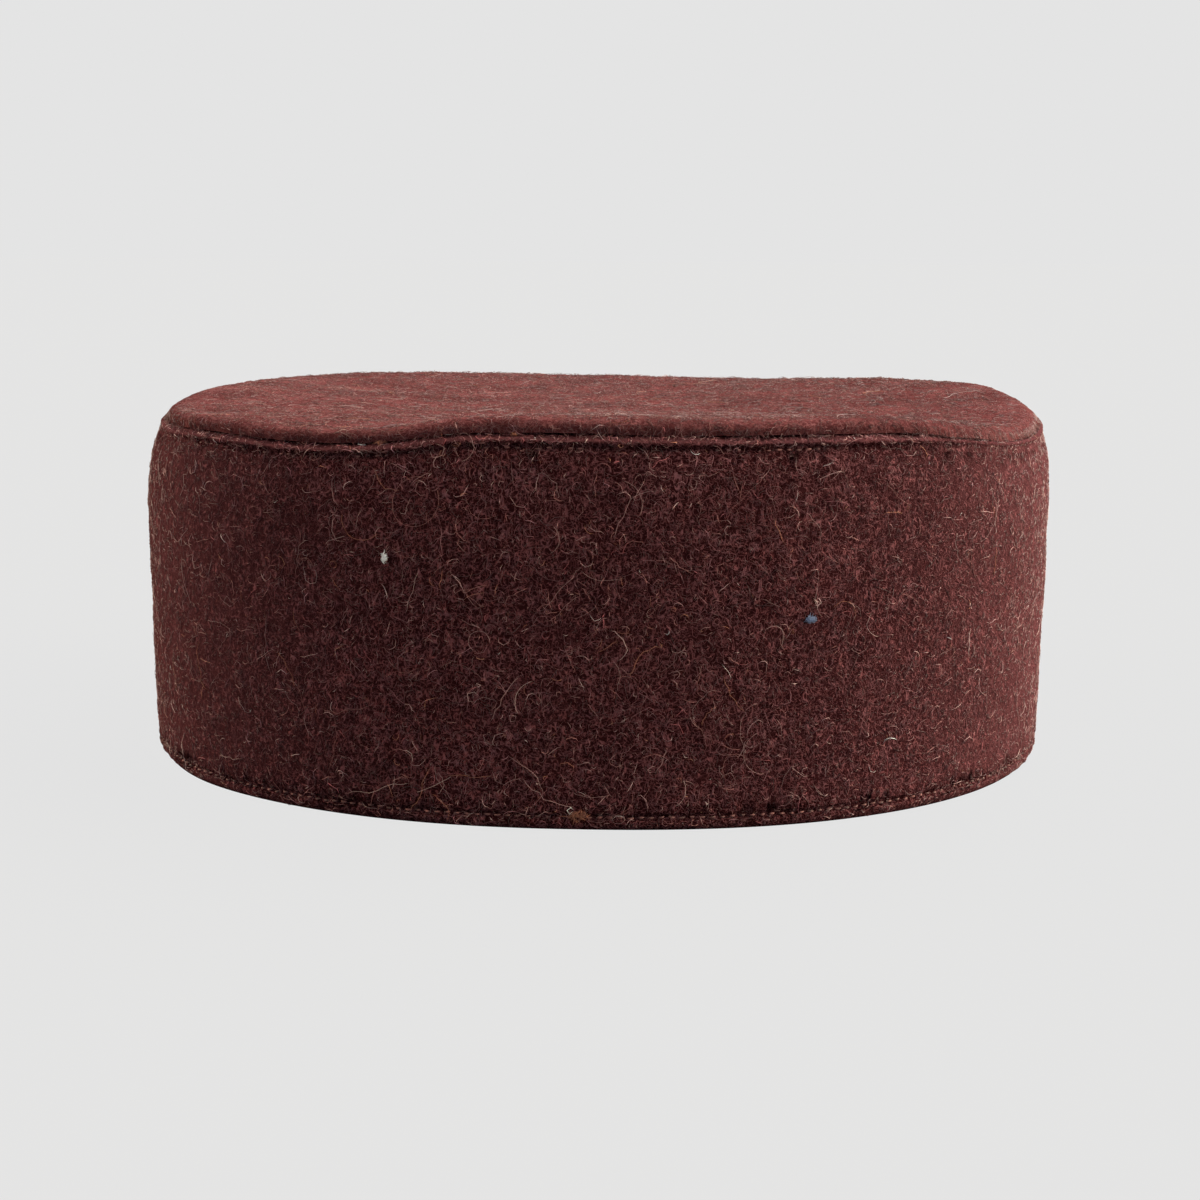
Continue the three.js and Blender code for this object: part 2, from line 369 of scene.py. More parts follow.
class KufiStage(bpy.types.PropertyGroup):
    """Camera, floor and lights."""

    camera_place: FloatVectorProperty(
        name="Camera", description="Where the camera stands", default=(0.0141, -0.3976, 0.1085), size=3, unit="LENGTH"
    )
    camera_turn: FloatProperty(
        name="Camera Turn", description="Heading, left of +Y", default=math.radians(1.98), subtype="ANGLE"
    )
    camera_dip: FloatProperty(
        name="Camera Dip", description="How far it looks down", default=math.radians(11.41), subtype="ANGLE"
    )
    camera_roll: FloatProperty(
        name="Camera Roll", description="Turn about its own axis", default=math.radians(0.35), subtype="ANGLE"
    )
    lens: FloatProperty(name="Lens", description="Focal length in mm", default=50.85, subtype="DISTANCE_CAMERA")
    floor_colour: colour_of("Floor", "Colour of the floor", (0.80, 0.80, 0.80))
    backdrop: colour_of("Backdrop", "Colour behind the floor", (0.776, 0.776, 0.776))
    floor_glow: share_of("Floor Glow", "Even light of the floor itself, as lit paper from below", 0.9795)
    fill: share_of("Fill", "Strength of the light from all round", 0.0064)


# Shape of the cap


def read_table(rows, column, turn):
    """A smooth closed curve through a table's rows, read at turns in degrees."""
    turns = np.array([row.turn for row in rows], float)
    values = np.array([getattr(row, column) for row in rows], float)
    wide = np.concatenate([turns[-1:] - 360, turns, turns[:2] + 360])
    held = np.concatenate([values[-1:], values, values[:2]])
    slopes = (held[2:] - held[:-2]) / (wide[2:] - wide[:-2])
    turn = np.mod(turn, 360)
    k = np.clip(np.searchsorted(turns, turn, side="right") - 1, 0, len(turns) - 1)
    span = wide[k + 2] - wide[k + 1]
    t = (turn - wide[k + 1]) / span
    ease = t * t * (3 - 2 * t)
    start, end = held[k + 1], held[k + 2]
    return (
        start * (1 - ease)
        + end * ease
        + slopes[k] * span * t * (1 - t) ** 2
        - slopes[k + 1] * span * t * t * (1 - t)
    )


def turn_between(start, end):
    """Degrees from one turn to another, the short way round."""
    return np.mod(end - start + 180, 360) - 180


def outline(size, turn):
    """Points on the cap's plan and the directions square to it, for turns in degrees."""
    angle = np.radians(turn)
    a, b, power = size.length / 2, size.width / 2, size.corner_power
    c, s = np.cos(angle), np.sin(angle)
    radius = (np.abs(c / a) ** power + np.abs(s / b) ** power) ** (-1 / power)
    x, y = radius * c, radius * s
    nx = np.sign(x) * np.abs(x / a) ** (power - 1) / a
    ny = np.sign(y) * np.abs(y / b) ** (power - 1) / b
    length = np.hypot(nx, ny)
    return x, y, nx / length, ny / length


def place(size, turn, out, z):
    """Points on the cap: out is square to the wall from its outer face, and z from the rim."""
    turn, out, z = np.broadcast_arrays(np.asarray(turn, float), out, z)
    seam_z = seam_height(size)
    start = size.shoulder_start * seam_z
    share = np.clip((z - start) / (seam_z - start), 0, 1)
    lean = size.shoulder_lean * read_table(EDGE_SHAPE, "lean", turn) * share**2
    proud = sum(
        fold.proud * size.cloth / (1 + (turn_between(fold.turn, turn) / fold.spread) ** 2) for fold in WALL_FOLDS
    )
    tip = np.abs(np.cos(np.radians(turn))) ** 16 * np.clip((z - seam_z) / size.tip_reach + 1, 0, 1) ** 2
    x, y, nx, ny = outline(size, turn)
    reach = out - lean + proud - size.tip_lean * tip
    lift = read_table(EDGE_SHAPE, "lift", turn)
    return np.stack([x + nx * reach, y + ny * reach, z * (1 + lift * z / size.height)], -1)


def arc(centre, reach, rise, start, end, steps):
    """Points (out, z) along an elliptic arc, between two angles in degrees."""
    angles = np.radians(np.linspace(start, end, steps + 1))
    return [(centre[0] + reach * math.cos(t), centre[1] + rise * math.sin(t)) for t in angles]


class Girth:
    """Turns and distances round the cap's outline."""

    def __init__(self, size, samples=3600):
        turns = np.linspace(0, 360, samples + 1)
        x, y, _, _ = outline(size, turns)
        steps = np.hypot(np.diff(x), np.diff(y))
        self.turns = turns
        self.along = np.concatenate([[0], np.cumsum(steps)])
        self.length = self.along[-1]

    def turn_at(self, distance):
        return np.interp(np.mod(distance, self.length), self.along, self.turns)

    def distance_at(self, turn):
        return np.interp(np.mod(turn, 360), self.turns, self.along)


def waves(points, shortest, longest, count, seed):
    """A smooth random field from -1 to 1 or so: many crossing waves, the same each run."""
    rng = np.random.default_rng(seed)
    heading = rng.normal(size=(count, 3))
    heading /= np.linalg.norm(heading, axis=1, keepdims=True)
    number = FULL_TURN / rng.uniform(shortest, longest, count)
    phase = rng.uniform(0, FULL_TURN, count)
    total = np.zeros(points.shape[:-1])
    for k in range(count):
        total += np.sin(points @ (heading[k] * number[k]) + phase[k])
    return total * math.sqrt(2 / count) / 2


def lumps(size, points):
    """How far the fulled cloth swells at points, in metres."""
    broad = waves(points, 0.010, 0.030, 14, SEEDS["broad_lumps"])
    fine = waves(points, 0.0028, 0.006, 26, SEEDS["fine_lumps"])
    return size.lump * (1.1 * broad + 0.9 * fine)


def bell(z, centre, reach):
    """1 at a centre, and soon nothing beyond its reach."""
    return np.exp(-(((z - centre) / reach) ** 2))


def seam_height(size):
    return size.height - size.seam_drop


def end_share(turn):
    """How far the seam is closed: 1 at the cap's two ends and 0 along its front and back."""
    return sum(
        np.clip((reach - np.abs(turn_between(middle, turn))) / ramp, 0, 1) ** 2 for middle, reach, ramp in SEAM_ENDS
    )


# How the crown's edge gives way at the two ends, and how its foot comes out and down, in metres.
ROUND_OFF, DROOP, LIP_OUT, LIP_DROP, END_LIP_DROP = 0.0006, 0.0001, 0.0003, 0.0011, 0.0004

# How far the foot comes out along the front and back, as mean and sway.
LOOSE_MEAN, LOOSE_SWAY = 0.72, 0.12

# How far the cloth comes forward where the seam closes up, how far below the seam, and its reach, in metres.
CLOSE_OUT, CLOSE_BELOW, CLOSE_REACH = 0.0008, 0.0002, 0.0011

# Painted shade along the cloth's hollows: how dark it is, and how far up and down that reaches, in metres.
CROWN_HOLLOW, GROOVE_HOLLOW, HEM_HOLLOW, SEAM_HOLLOW = (0.25, 0.0009), (0.35, 0.00055), (0.45, 0.0006), (0.6, 0.0003)
SEAM_OFFSET = 0.0002

# Painted light on the ridge below the seam: how far below the seam it lies and its reach, in metres, and how much
# lighter its nap and cloth are painted.
RIDGE_LIGHT_BELOW, RIDGE_LIGHT_REACH, RIDGE_LIGHT_NAP, RIDGE_LIGHT_CLOTH = 0.0007, 0.00055, 1.5, 0.9

# How much fuller the cloth looks at the two ends, and how deep each stitch pulls it in, as a share of the groove.
END_FULLER, STITCH_PULL = 0.8, 0.35


def soften_ends(size, turn, out, z):
    """The crown's edge: its foot drawn in and down behind the ridge, and the whole of it rounder at the ends."""
    seam_z, at_end = seam_height(size), end_share(turn)
    share = np.clip((z - seam_z) / size.seam_drop, 0, 1)
    border = np.clip((out + size.edge_border) / (size.edge_border - size.roll_reach), 0, 1)
    above = np.clip((z - seam_z) / size.gap, 0, 1)
    ends = np.abs(np.cos(np.radians(turn))) ** 24
    back = size.set_back * (1 - share) * (1 - at_end)
    drawn = out - border * above * (size.end_tuck * ends * share**1.3 + back + ROUND_OFF * at_end * share**2)
    wander = np.sin(7 * np.radians(turn) + 1) + np.sin(17 * np.radians(turn))
    loose = LOOSE_MEAN + LOOSE_SWAY * wander
    lip = np.maximum(at_end, loose) * above * (1 - share) ** 3
    droop = DROOP * at_end * np.clip(1 - (z - seam_z) / size.seam_drop * 0.4, 0, 1) * border**2
    out = drawn + LIP_OUT * at_end * lip + above * close_up(size, turn, z)
    return out, z - (LIP_DROP + END_LIP_DROP * at_end) * lip * border - droop * share


def close_up(size, turn, z):
    """How far the cloth on both sides of the seam comes forward at the two ends, until no notch is left."""
    return CLOSE_OUT * end_share(turn) * bell(z, seam_height(size) - CLOSE_BELOW, CLOSE_REACH)


def fill_groove(size, turn, z):
    """How much of the upper stitch groove is missing at the two ends, where the stitches go under the nap."""
    return close_up(size, turn, z) - end_share(turn) * dip(z, seam_height(size) - size.top_stitch, size)


def hollow(size, turn, z, crown=False):
    """How little light gets to the outside, from 0 to 1: in the seam, the grooves and under the crown's edge."""
    seam_z, fades = seam_height(size), 1 - end_share(turn)
    if crown:
        return fades * dark_line(z, seam_z - SEAM_OFFSET, CROWN_HOLLOW)
    groove = fades * dark_line(z, seam_z - size.top_stitch, GROOVE_HOLLOW)
    seam = fades * dark_line(z, seam_z + SEAM_OFFSET, SEAM_HOLLOW)
    return np.maximum(np.maximum(groove, dark_line(z, size.hem_stitch, HEM_HOLLOW)), seam)


def dark_line(z, centre, line):
    """How dark a line of painted shade round the cap is at heights z, from its darkness and reach."""
    darkness, reach = line
    return darkness * bell(z, centre, reach)


def painted_ridge_light(size, z):
    """How much painted light lies on the ridge below the seam, from 0 to 1."""
    return bell(z, seam_height(size) - RIDGE_LIGHT_BELOW, RIDGE_LIGHT_REACH)


# How much darker the crown's wool is in its darkest patches.
WORN = 0.4


def patchy(points):
    """Broad darker and lighter patches of the wool, from 0 to 1."""
    return np.clip(0.5 + 0.5 * waves(points, 0.006, 0.030, 22, SEEDS["worn_patches"]), 0, 1)


def wall_steps(low, high, count):
    """Heights spread evenly between two, without the ends."""
    return list(np.linspace(low, high, count + 2)[1:-1])


def dip(z, centre, size):
    """The groove that a row of stitches pulls into the outer face, at heights z."""
    share = np.clip(np.abs(z - centre) / size.stitch_span, 0, 1)
    return -size.stitch_sink * ((1 + np.cos(math.pi * share)) / 2) ** 1.5


def pits(across, up, pitch):
    """Small pits of the weave in rows that wander, from 0 to 1. The pit node group says the same."""
    number = FULL_TURN / pitch
    a = np.sin(across * number + 1.6 * np.sin(190 * up + 0.7 * np.sin(310 * across)))
    b = np.sin(up * number + 1.6 * np.sin(230 * across + 0.9 * np.sin(280 * up)))
    return np.maximum(a, 0) * np.maximum(b, 0)


WALL_ROWS = 23
GROOVE_ROWS = 5
ARC_ROWS = 7
CROWN_COLUMNS, TOP_RINGS, UNDER_RINGS = 420, 30, 15


class BandSection:
    """The band's closed section, from the outer edge of its foot, up the outside and down the inside."""

    def __init__(self, size):
        folded = 2 * size.cloth + size.gap
        seam_z = seam_height(size)
        top_row = seam_z - size.top_stitch
        fold_rise = size.top_stitch - size.stitch_span
        corner = (folded - size.rim_flat) / 2
        foot_rise = size.hem_stitch - size.stitch_span
        slit_foot = size.hem_stitch + size.stitch_span
        slit_top = top_row - size.stitch_span
        allowance = seam_z - size.seam_allowance
        heights = [
            *wall_steps(foot_rise, slit_foot, GROOVE_ROWS),
            slit_foot,
            *wall_steps(slit_foot, slit_top, WALL_ROWS),
            slit_top,
            *wall_steps(slit_top, top_row + size.stitch_span, GROOVE_ROWS),
        ]
        outer = [
            *arc((-corner, foot_rise), corner, foot_rise, -90, 0, 4),
            *[(float(dip(z, size.hem_stitch, size) + dip(z, top_row, size)), z) for z in heights],
            *arc((-folded / 2, seam_z - fold_rise), folded / 2, fold_rise, 0, 90, ARC_ROWS),
        ]
        back = arc((-folded / 2, seam_z - fold_rise), folded / 2, fold_rise, 90, 180, 4)[1:]
        inner = [
            (-folded, allowance + size.gap),
            (-folded + size.gap, allowance),
            (-size.cloth - size.gap, allowance),
            (-size.cloth - size.gap, slit_top),
            (-size.cloth, slit_top),
            (-size.cloth, allowance - size.gap),
        ]
        plain = [(-size.cloth, z) for z in wall_steps(allowance - 2 * size.gap, size.hem_turn + 2 * size.gap, 6)]
        turned = [
            (-size.cloth, size.hem_turn + size.gap),
            (-size.cloth, slit_foot),
            (-size.cloth - size.gap, slit_foot),
            (-size.cloth - size.gap, size.hem_turn),
            (-folded + size.gap, size.hem_turn),
            (-folded, size.hem_turn - size.gap),
            (-folded, size.hem_turn / 2),
            *arc((corner - folded, foot_rise), corner, foot_rise, 180, 270, 4),
        ]
        rows = np.array([*outer, *back, *inner, *plain, *turned])
        self.out, self.z = rows[:, 0], rows[:, 1]
        ridge = bell(self.z, seam_z - size.top_stitch * 0.45, 0.0008)
        self.out[: len(outer)] += size.ridge_swell * ridge[: len(outer)]
        index = np.arange(len(rows))
        self.is_outer = index < len(outer)
        pressed_from = len(outer) + len(back) + len(inner)
        self.is_pressed = (index >= pressed_from) & (index < pressed_from + len(plain))
        steps = np.hypot(*np.diff(rows, axis=0).T)
        self.along = np.concatenate([[0], np.cumsum(steps)])
        self.around = self.along[-1] + float(np.hypot(*(rows[0] - rows[-1])))
        self.top_row, self.seam_z = top_row, seam_z
        self.outer_end = self.along[len(outer) - 1]


class CrownSection:
    """The crown's section, from the seam round its rolled edge to the level border, and the faces below."""

    def __init__(self, size):
        folded = 2 * size.cloth + size.gap
        seam_z = seam_height(size)
        fold_rise = size.top_stitch - size.stitch_span
        inner = -folded - size.gap - size.cloth
        roll_z = seam_z + size.seam_drop / 3
        allowance = seam_z - size.seam_allowance
        centre = (-size.roll_inset - size.roll_reach, roll_z)
        roll = arc(centre, size.roll_reach, size.height - roll_z, -20, 90, 12)
        (foot_out, foot_z), (next_out, next_z) = roll[:2]
        roll.insert(1, (foot_out + 0.15 * (next_out - foot_out), foot_z + 0.15 * (next_z - foot_z)))
        border = [(out, size.height) for out in np.linspace(roll[-1][0], -size.edge_border, 5)[1:]]
        under = arc(
            (-folded / 2, seam_z - fold_rise), folded / 2 + size.gap, fold_rise + size.gap, 60, 180, 8
        )
        turned = [
            (-folded - size.gap, allowance + size.gap),
            (-folded - 2 * size.gap, allowance),
            (inner + size.gap, allowance),
            (inner, allowance + size.gap),
            (inner, (allowance + size.height) / 2),
        ]
        bend_centre = (inner - size.inner_bend, size.height - size.cloth - size.inner_bend)
        bend = arc(bend_centre, size.inner_bend, size.inner_bend, 0, 90, 4)
        self.upper = np.array([*roll, *border])
        self.lower = np.array([*under, *turned, *bend, (-size.edge_border - size.cloth, size.height - size.cloth)])
        steps = np.hypot(*np.diff(self.upper, axis=0).T)
        self.along = np.concatenate([[0], np.cumsum(steps)])


class BandPatch:
    """The band's outer face by distance round the cap and distance up its section."""

    pitch, dyed, crown = 0.0017, "share", False

    def __init__(self, size):
        self.size, self.girth, self.section = size, Girth(size), BandSection(size)
        keep = self.section.is_outer
        self.along, self.out, self.z = (a[keep] for a in (self.section.along, self.section.out, self.section.z))
        self.reach = (0.0012, self.section.outer_end - 0.0004)

    def point(self, round_it, up, height):
        out, z = np.interp(up, self.along, self.out), np.interp(up, self.along, self.z)
        inner = np.clip(up, SECTION_STEP, self.along[-1] - SECTION_STEP)
        low, high = inner - SECTION_STEP, inner + SECTION_STEP
        d_out = np.interp(high, self.along, self.out) - np.interp(low, self.along, self.out)
        d_z = np.interp(high, self.along, self.z) - np.interp(low, self.along, self.z)
        length = np.hypot(d_out, d_z)
        turn = self.girth.turn_at(round_it)
        height = height - self.size.nap_depth + lumps(self.size, place(self.size, turn, out, z))
        out, z = out + height * d_z / length, z - height * d_out / length
        return place(self.size, turn, *self.shape(turn, out, z))

    def shape(self, turn, out, z):
        return out + fill_groove(self.size, turn, z), z

    def hollow(self, across, up):
        # Painted shade in the seam and the grooves and painted light on the ridge; on the crown, painted shade under
        # its edge and darker worn patches, whichever is darker.
        turn, z = self.girth.turn_at(across), np.interp(up, self.along, self.z)
        if self.crown:
            return np.maximum(hollow(self.size, turn, z, True), WORN * patchy(self.point(across, up, 0)))
        return hollow(self.size, turn, z) - RIDGE_LIGHT_NAP * painted_ridge_light(self.size, z) * (1 - end_share(turn))

    def calm(self, across):
        """How far the fibres lie down and look alike, from 0 to 1: most at the two ends."""
        return 0.1 + 0.65 * np.cos(np.radians(self.girth.turn_at(across))) ** 4 + 0.15 * self.crown

    def spread(self, rng, count):
        return rng.uniform(0, self.girth.length, count), rng.uniform(*self.reach, count)

    def area(self):
        return self.girth.length * (self.reach[1] - self.reach[0])


class RollPatch(BandPatch):
    """The crown's rolled edge and level border, in the same terms."""

    dyed, crown = "crown_share", True

    def __init__(self, size):
        self.size, self.girth, self.section = size, Girth(size), CrownSection(size)
        self.along, (self.out, self.z) = self.section.along, self.section.upper.T
        self.reach = (0.0004, self.along[-1])

    def shape(self, turn, out, z):
        return soften_ends(self.size, turn, out, z)


class DiscPatch:
    """The crown inside its border, in plan."""

    pitch, dyed = 0.0017, "crown_share"

    def __init__(self, size):
        self.size = size

    def point(self, x, y, height):
        size = self.size
        turn = np.degrees(np.arctan2(y, x))
        border = place(size, turn, -size.edge_border, size.height)
        share = np.hypot(x, y) / np.hypot(border[..., 0], border[..., 1])
        z = disc_height(size, share, border[..., 2] - size.height)
        flat = np.stack(np.broadcast_arrays(x, y, z), -1)
        flat[..., 2] += height - size.nap_depth + lumps(size, flat)
        return flat

    def spread(self, rng, count):
        size = self.size
        turn = rng.uniform(0, 360, 3 * count)
        radius = np.sqrt(rng.uniform(0, 1, 3 * count)) * size.length / 2
        x, y = radius * np.cos(np.radians(turn)), radius * np.sin(np.radians(turn))
        border = place(size, turn, -size.edge_border, size.height)
        inside = np.nonzero(radius < np.hypot(border[:, 0], border[:, 1]))[0][:count]
        return x[inside], y[inside]

    def hollow(self, across, up):
        return WORN * patchy(self.point(across, up, 0))

    def calm(self, across):
        return np.full(np.shape(across), 0.6)

    def area(self):
        size = self.size
        return OVAL_SHARE * (size.length - 2 * size.edge_border) * (size.width - 2 * size.edge_border)


class InsidePatch(BandPatch):
    """The band's inner face between the hem and the seam allowance."""

    def __init__(self, size):
        self.size, self.girth = size, Girth(size)
        low, high = size.hem_turn + 0.002, seam_height(size) - size.seam_allowance - 0.002
        self.along = np.array([0, high - low])
        self.out = np.array([-size.cloth, -size.cloth])
        self.z = np.array([high, low])
        self.reach = (0.001, high - low - 0.001)


class SeamPatch(BandPatch):
    """A band across the crown's seam, whose fibres bridge it, most of them where the seam closes up."""

    def __init__(self, size):
        self.size, self.girth = size, Girth(size)
        seam_z = seam_height(size)
        rows = ((0, -2.0), (-0.1, -1.2), (-0.45, -0.3), (-0.5, 0.3), (-0.4, 1.2), (-0.75, 2.0))
        self.out, self.z = (np.array(rows) * MM + (0.0001, seam_z)).T
        self.along = np.concatenate([[0], np.cumsum(np.hypot(np.diff(self.out), np.diff(self.z)))])
        self.reach = (0.0006, self.along[-1] - 0.0006)

    def shape(self, turn, out, z):
        return soften_ends(self.size, turn, out, z)

    def calm(self, across):
        return 0.3 + 0.62 * end_share(self.girth.turn_at(across))

    def spread(self, rng, count):
        across, up = super().spread(rng, 3 * count)
        kept = rng.random(len(across)) < 0.35 + 0.65 * end_share(self.girth.turn_at(across))
        return across[kept][:count], up[kept][:count]


def disc_height(size, share, lift):
    """The crown's height at a share of the way from its middle to its border."""
    hollow = np.clip(1 - share**2, 0, 1) ** size.sag_power
    return size.height + lift * share**2 - size.crown_sag * hollow


# Meshes from arrays


def new_mesh(name, points, faces, uv=None, dye=None, shade=None):
    """An object whose mesh has these points and faces of one size, with a UV map and a dye or shade for each point."""
    points, faces = np.asarray(points, np.float32), np.asarray(faces, np.int32)
    mesh = bpy.data.meshes.new(name)
    count, sides = faces.shape
    mesh.vertices.add(len(points))
    mesh.vertices.foreach_set("co", points.ravel())
    mesh.loops.add(count * sides)
    mesh.loops.foreach_set("vertex_index", faces.ravel())
    mesh.polygons.add(count)
    mesh.polygons.foreach_set("loop_start", np.arange(0, count * sides, sides, dtype=np.int32))
    if uv is not None:
        layer = mesh.uv_layers.new(name="OFBake")
        layer.uv.foreach_set("vector", np.asarray(uv, np.float32).ravel())
    if dye is not None:
        layer = mesh.attributes.new("dye", "FLOAT_COLOR", "POINT")
        layer.data.foreach_set("color", np.asarray(dye, np.float32).ravel())
    if shade is not None:
        layer = mesh.attributes.new("hollow", "FLOAT", "POINT")
        layer.data.foreach_set("value", np.asarray(shade, np.float32).ravel())
    mesh.update(calc_edges=True)
    mesh.validate()
    thing = bpy.data.objects.new(name, mesh)
    bpy.context.collection.objects.link(thing)
    return thing


def finish_piece(thing, material, slot, *nodes):
    """Smooths a piece, gives it its material and ties it to the cap's body; the slot is not used."""
    thing.data.polygons.foreach_set("use_smooth", np.ones(len(thing.data.polygons), bool))
    thing.data.materials.append(material)
    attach(thing, "root")
    if nodes:
        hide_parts(*nodes)


def quad_strip(columns, rows, closed):
    """Faces of a grid that closes round its columns, and round its rows too where closed."""
    last = rows if closed else rows - 1
    i, j = np.meshgrid(np.arange(columns), np.arange(last), indexing="ij")
    ni, nj = (i + 1) % columns, (j + 1) % rows
    return np.stack([i * rows + j, ni * rows + j, ni * rows + nj, i * rows + nj], -1).reshape(-1, 4)


def stitch_count(size, thread):
    return round(Girth(size).length / thread.pitch)


def make_band(size, thread):
    """The side band's cloth: one closed sheet, folded in at the top and turned up at the hem."""
    section, girth = BandSection(size), Girth(size)
    stitches = stitch_count(size, thread)
    columns = 3 * stitches
    along = np.arange(columns) * girth.length / columns
    turn = girth.turn_at(along)[:, None]
    from_seam = np.abs(np.mod(along + girth.length / 2, girth.length) - girth.length / 2)[:, None]
    out = np.broadcast_to(section.out, (columns, len(section.out))).copy()
    z = np.broadcast_to(section.z, out.shape)
    groove = size.back_depth * np.clip(1 - from_seam / size.back_reach, 0, 1) ** 0.5
    out -= groove * section.is_outer
    ramp = np.clip((size.back_allowance + size.gap - from_seam) / size.gap, 0, 1)
    out -= size.back_pressed * ramp * section.is_pressed
    out += fill_groove(size, turn, z) * section.is_outer
    pull = 0.5 + 0.5 * np.cos(FULL_TURN * along / thread.pitch * (thread.pitch * stitches / girth.length))[:, None]
    for row in (size.hem_stitch, section.top_row):
        near = bell(z, row, size.stitch_span) * section.is_outer
        out -= STITCH_PULL * size.stitch_sink * near * pull
    flat = place(size, turn, out, z)
    swell = (lumps(size, flat) - size.nap_depth) * section.is_outer
    normal = section_normals(section.out, section.z)
    points = place(size, turn, out + swell * normal[:, 0], np.maximum(z + swell * normal[:, 1], 0))
    points[:, section.z <= ON_FLOOR, 2] = 0
    faces = quad_strip(columns, len(section.out), True)
    u = along / girth.length
    v = section.along / section.around
    corner_u = np.stack([u, u + 1 / columns, u + 1 / columns, u], -1)
    next_v = np.append(v[1:], 1)
    corner_v = np.stack([v, v, next_v, next_v], -1)
    uv = np.stack(
        [
            np.broadcast_to(corner_u[:, None, :], (columns, len(v), 4)),
            np.broadcast_to(corner_v[None, :, :], (columns, len(v), 4)),
        ],
        -1,
    )
    # The hollow attribute: painted shade in the stitch grooves and the seam, painted light on the ridge, and the cloth
    # made lighter at the two ends.
    ridge = RIDGE_LIGHT_CLOTH * painted_ridge_light(size, section.z) * (1 - end_share(turn))
    fuller_ends_and_ridge_light = END_FULLER * np.cos(np.radians(turn)) ** 4 + ridge
    shade = (hollow(size, turn, section.z) - fuller_ends_and_ridge_light) * section.is_outer
    return new_mesh("band_cloth", points.reshape(-1, 3), faces, uv, shade=shade)


def section_normals(out, z):
    """Directions out of the cloth at each point of a closed section."""
    d_out, d_z = np.roll(out, -1) - np.roll(out, 1), np.roll(z, -1) - np.roll(z, 1)
    length = np.maximum(np.hypot(d_out, d_z), TINY)
    return np.stack([d_z / length, -d_out / length], -1)


def make_crown(size):
    """The crown's cloth: an oval sheet with a rolled edge and its allowance turned down inside."""
    section, girth = CrownSection(size), Girth(size)
    columns = CROWN_COLUMNS
    along = np.arange(columns) * girth.length / columns
    turn = girth.turn_at(along)[:, None]
    upper = place(size, turn, section.upper[:, 0], section.upper[:, 1])
    d = np.gradient(section.upper, axis=0)
    d /= np.linalg.norm(d, axis=1, keepdims=True)
    swell = lumps(size, upper) - size.nap_depth
    out, z = section.upper[:, 0] + swell * d[:, 1], section.upper[:, 1] - swell * d[:, 0]
    upper = place(size, turn, *soften_ends(size, turn, out, z))
    lower = place(size, turn, section.lower[:, 0], section.lower[:, 1])

    def rings(drop, shares):
        border = place(size, turn, -size.edge_border - drop, size.height)
        plan = border[..., :2] * shares[:, None]
        z = disc_height(size, shares[None, :], border[..., 2] - size.height) - drop
        return np.concatenate([plan, z[..., None]], -1)

    top = rings(0, np.linspace(1, 0, TOP_RINGS)[1:-1])
    top[..., 2] += lumps(size, top) - size.nap_depth
    bottom = rings(size.cloth, np.linspace(0, 1, UNDER_RINGS)[1:-1])
    grid = np.concatenate([bottom, lower[:, ::-1], upper, top], 1)
    rows = grid.shape[1]
    points = grid.reshape(-1, 3)
    middle = disc_height(size, np.zeros(1), 0)[0]
    top_swell = float(lumps(size, np.array([[0, 0, middle]]))[0]) - size.nap_depth
    poles = np.array([[0, 0, middle - size.cloth], [0, 0, middle + top_swell]])
    points = np.concatenate([points, poles])
    low, high = len(points) - 2, len(points) - 1
    quads = quad_strip(columns, rows, False)
    here = np.arange(columns)
    there = (here + 1) % columns
    fan_low = np.stack([here * 0 + low, there * rows, here * rows], -1)
    fan_high = np.stack([here * 0 + high, here * rows + rows - 1, there * rows + rows - 1], -1)
    split = np.concatenate([quads[:, [0, 1, 2]], quads[:, [0, 2, 3]], fan_low, fan_high])
    steps = np.linalg.norm(np.diff(grid[0], axis=0), axis=1)
    distance = np.concatenate([[0], np.cumsum(steps)])
    edge = np.argmax(np.hypot(grid[0, :, 0], grid[0, :, 1]))
    under = np.arange(rows) < edge
    below, above = distance + np.hypot(*grid[0, 0, :2]), distance[-1] - distance + np.hypot(*grid[0, -1, :2])
    radius = np.where(under, below, above)
    heading = np.radians(turn)
    widest = radius.max() * 1.02
    flat = np.stack([radius * np.cos(heading), radius * np.sin(heading)], -1) / (4 * widest)
    flat[..., 1] *= 2
    flat += np.where(under[None, :, None], [0.75, 0.5], [0.25, 0.5])
    flat = np.concatenate([flat.reshape(-1, 2), [[0.75, 0.5], [0.25, 0.5]]])
    seen_from = rows - len(section.upper) - top.shape[1]
    heights = np.concatenate([np.zeros(seen_from), section.upper[:, 1], np.ones(top.shape[1])])
    worn = WORN * patchy(grid) * (np.arange(rows) >= seen_from)
    # The hollow attribute: painted shade under the crown's edge, and darker worn patches on its upper faces, whichever
    # is darker.
    shade = np.append(np.maximum(hollow(size, turn, heights, crown=True), worn).ravel(), [0, 0.15])
    return new_mesh("crown_cloth", points, split, flat[split], shade=shade)


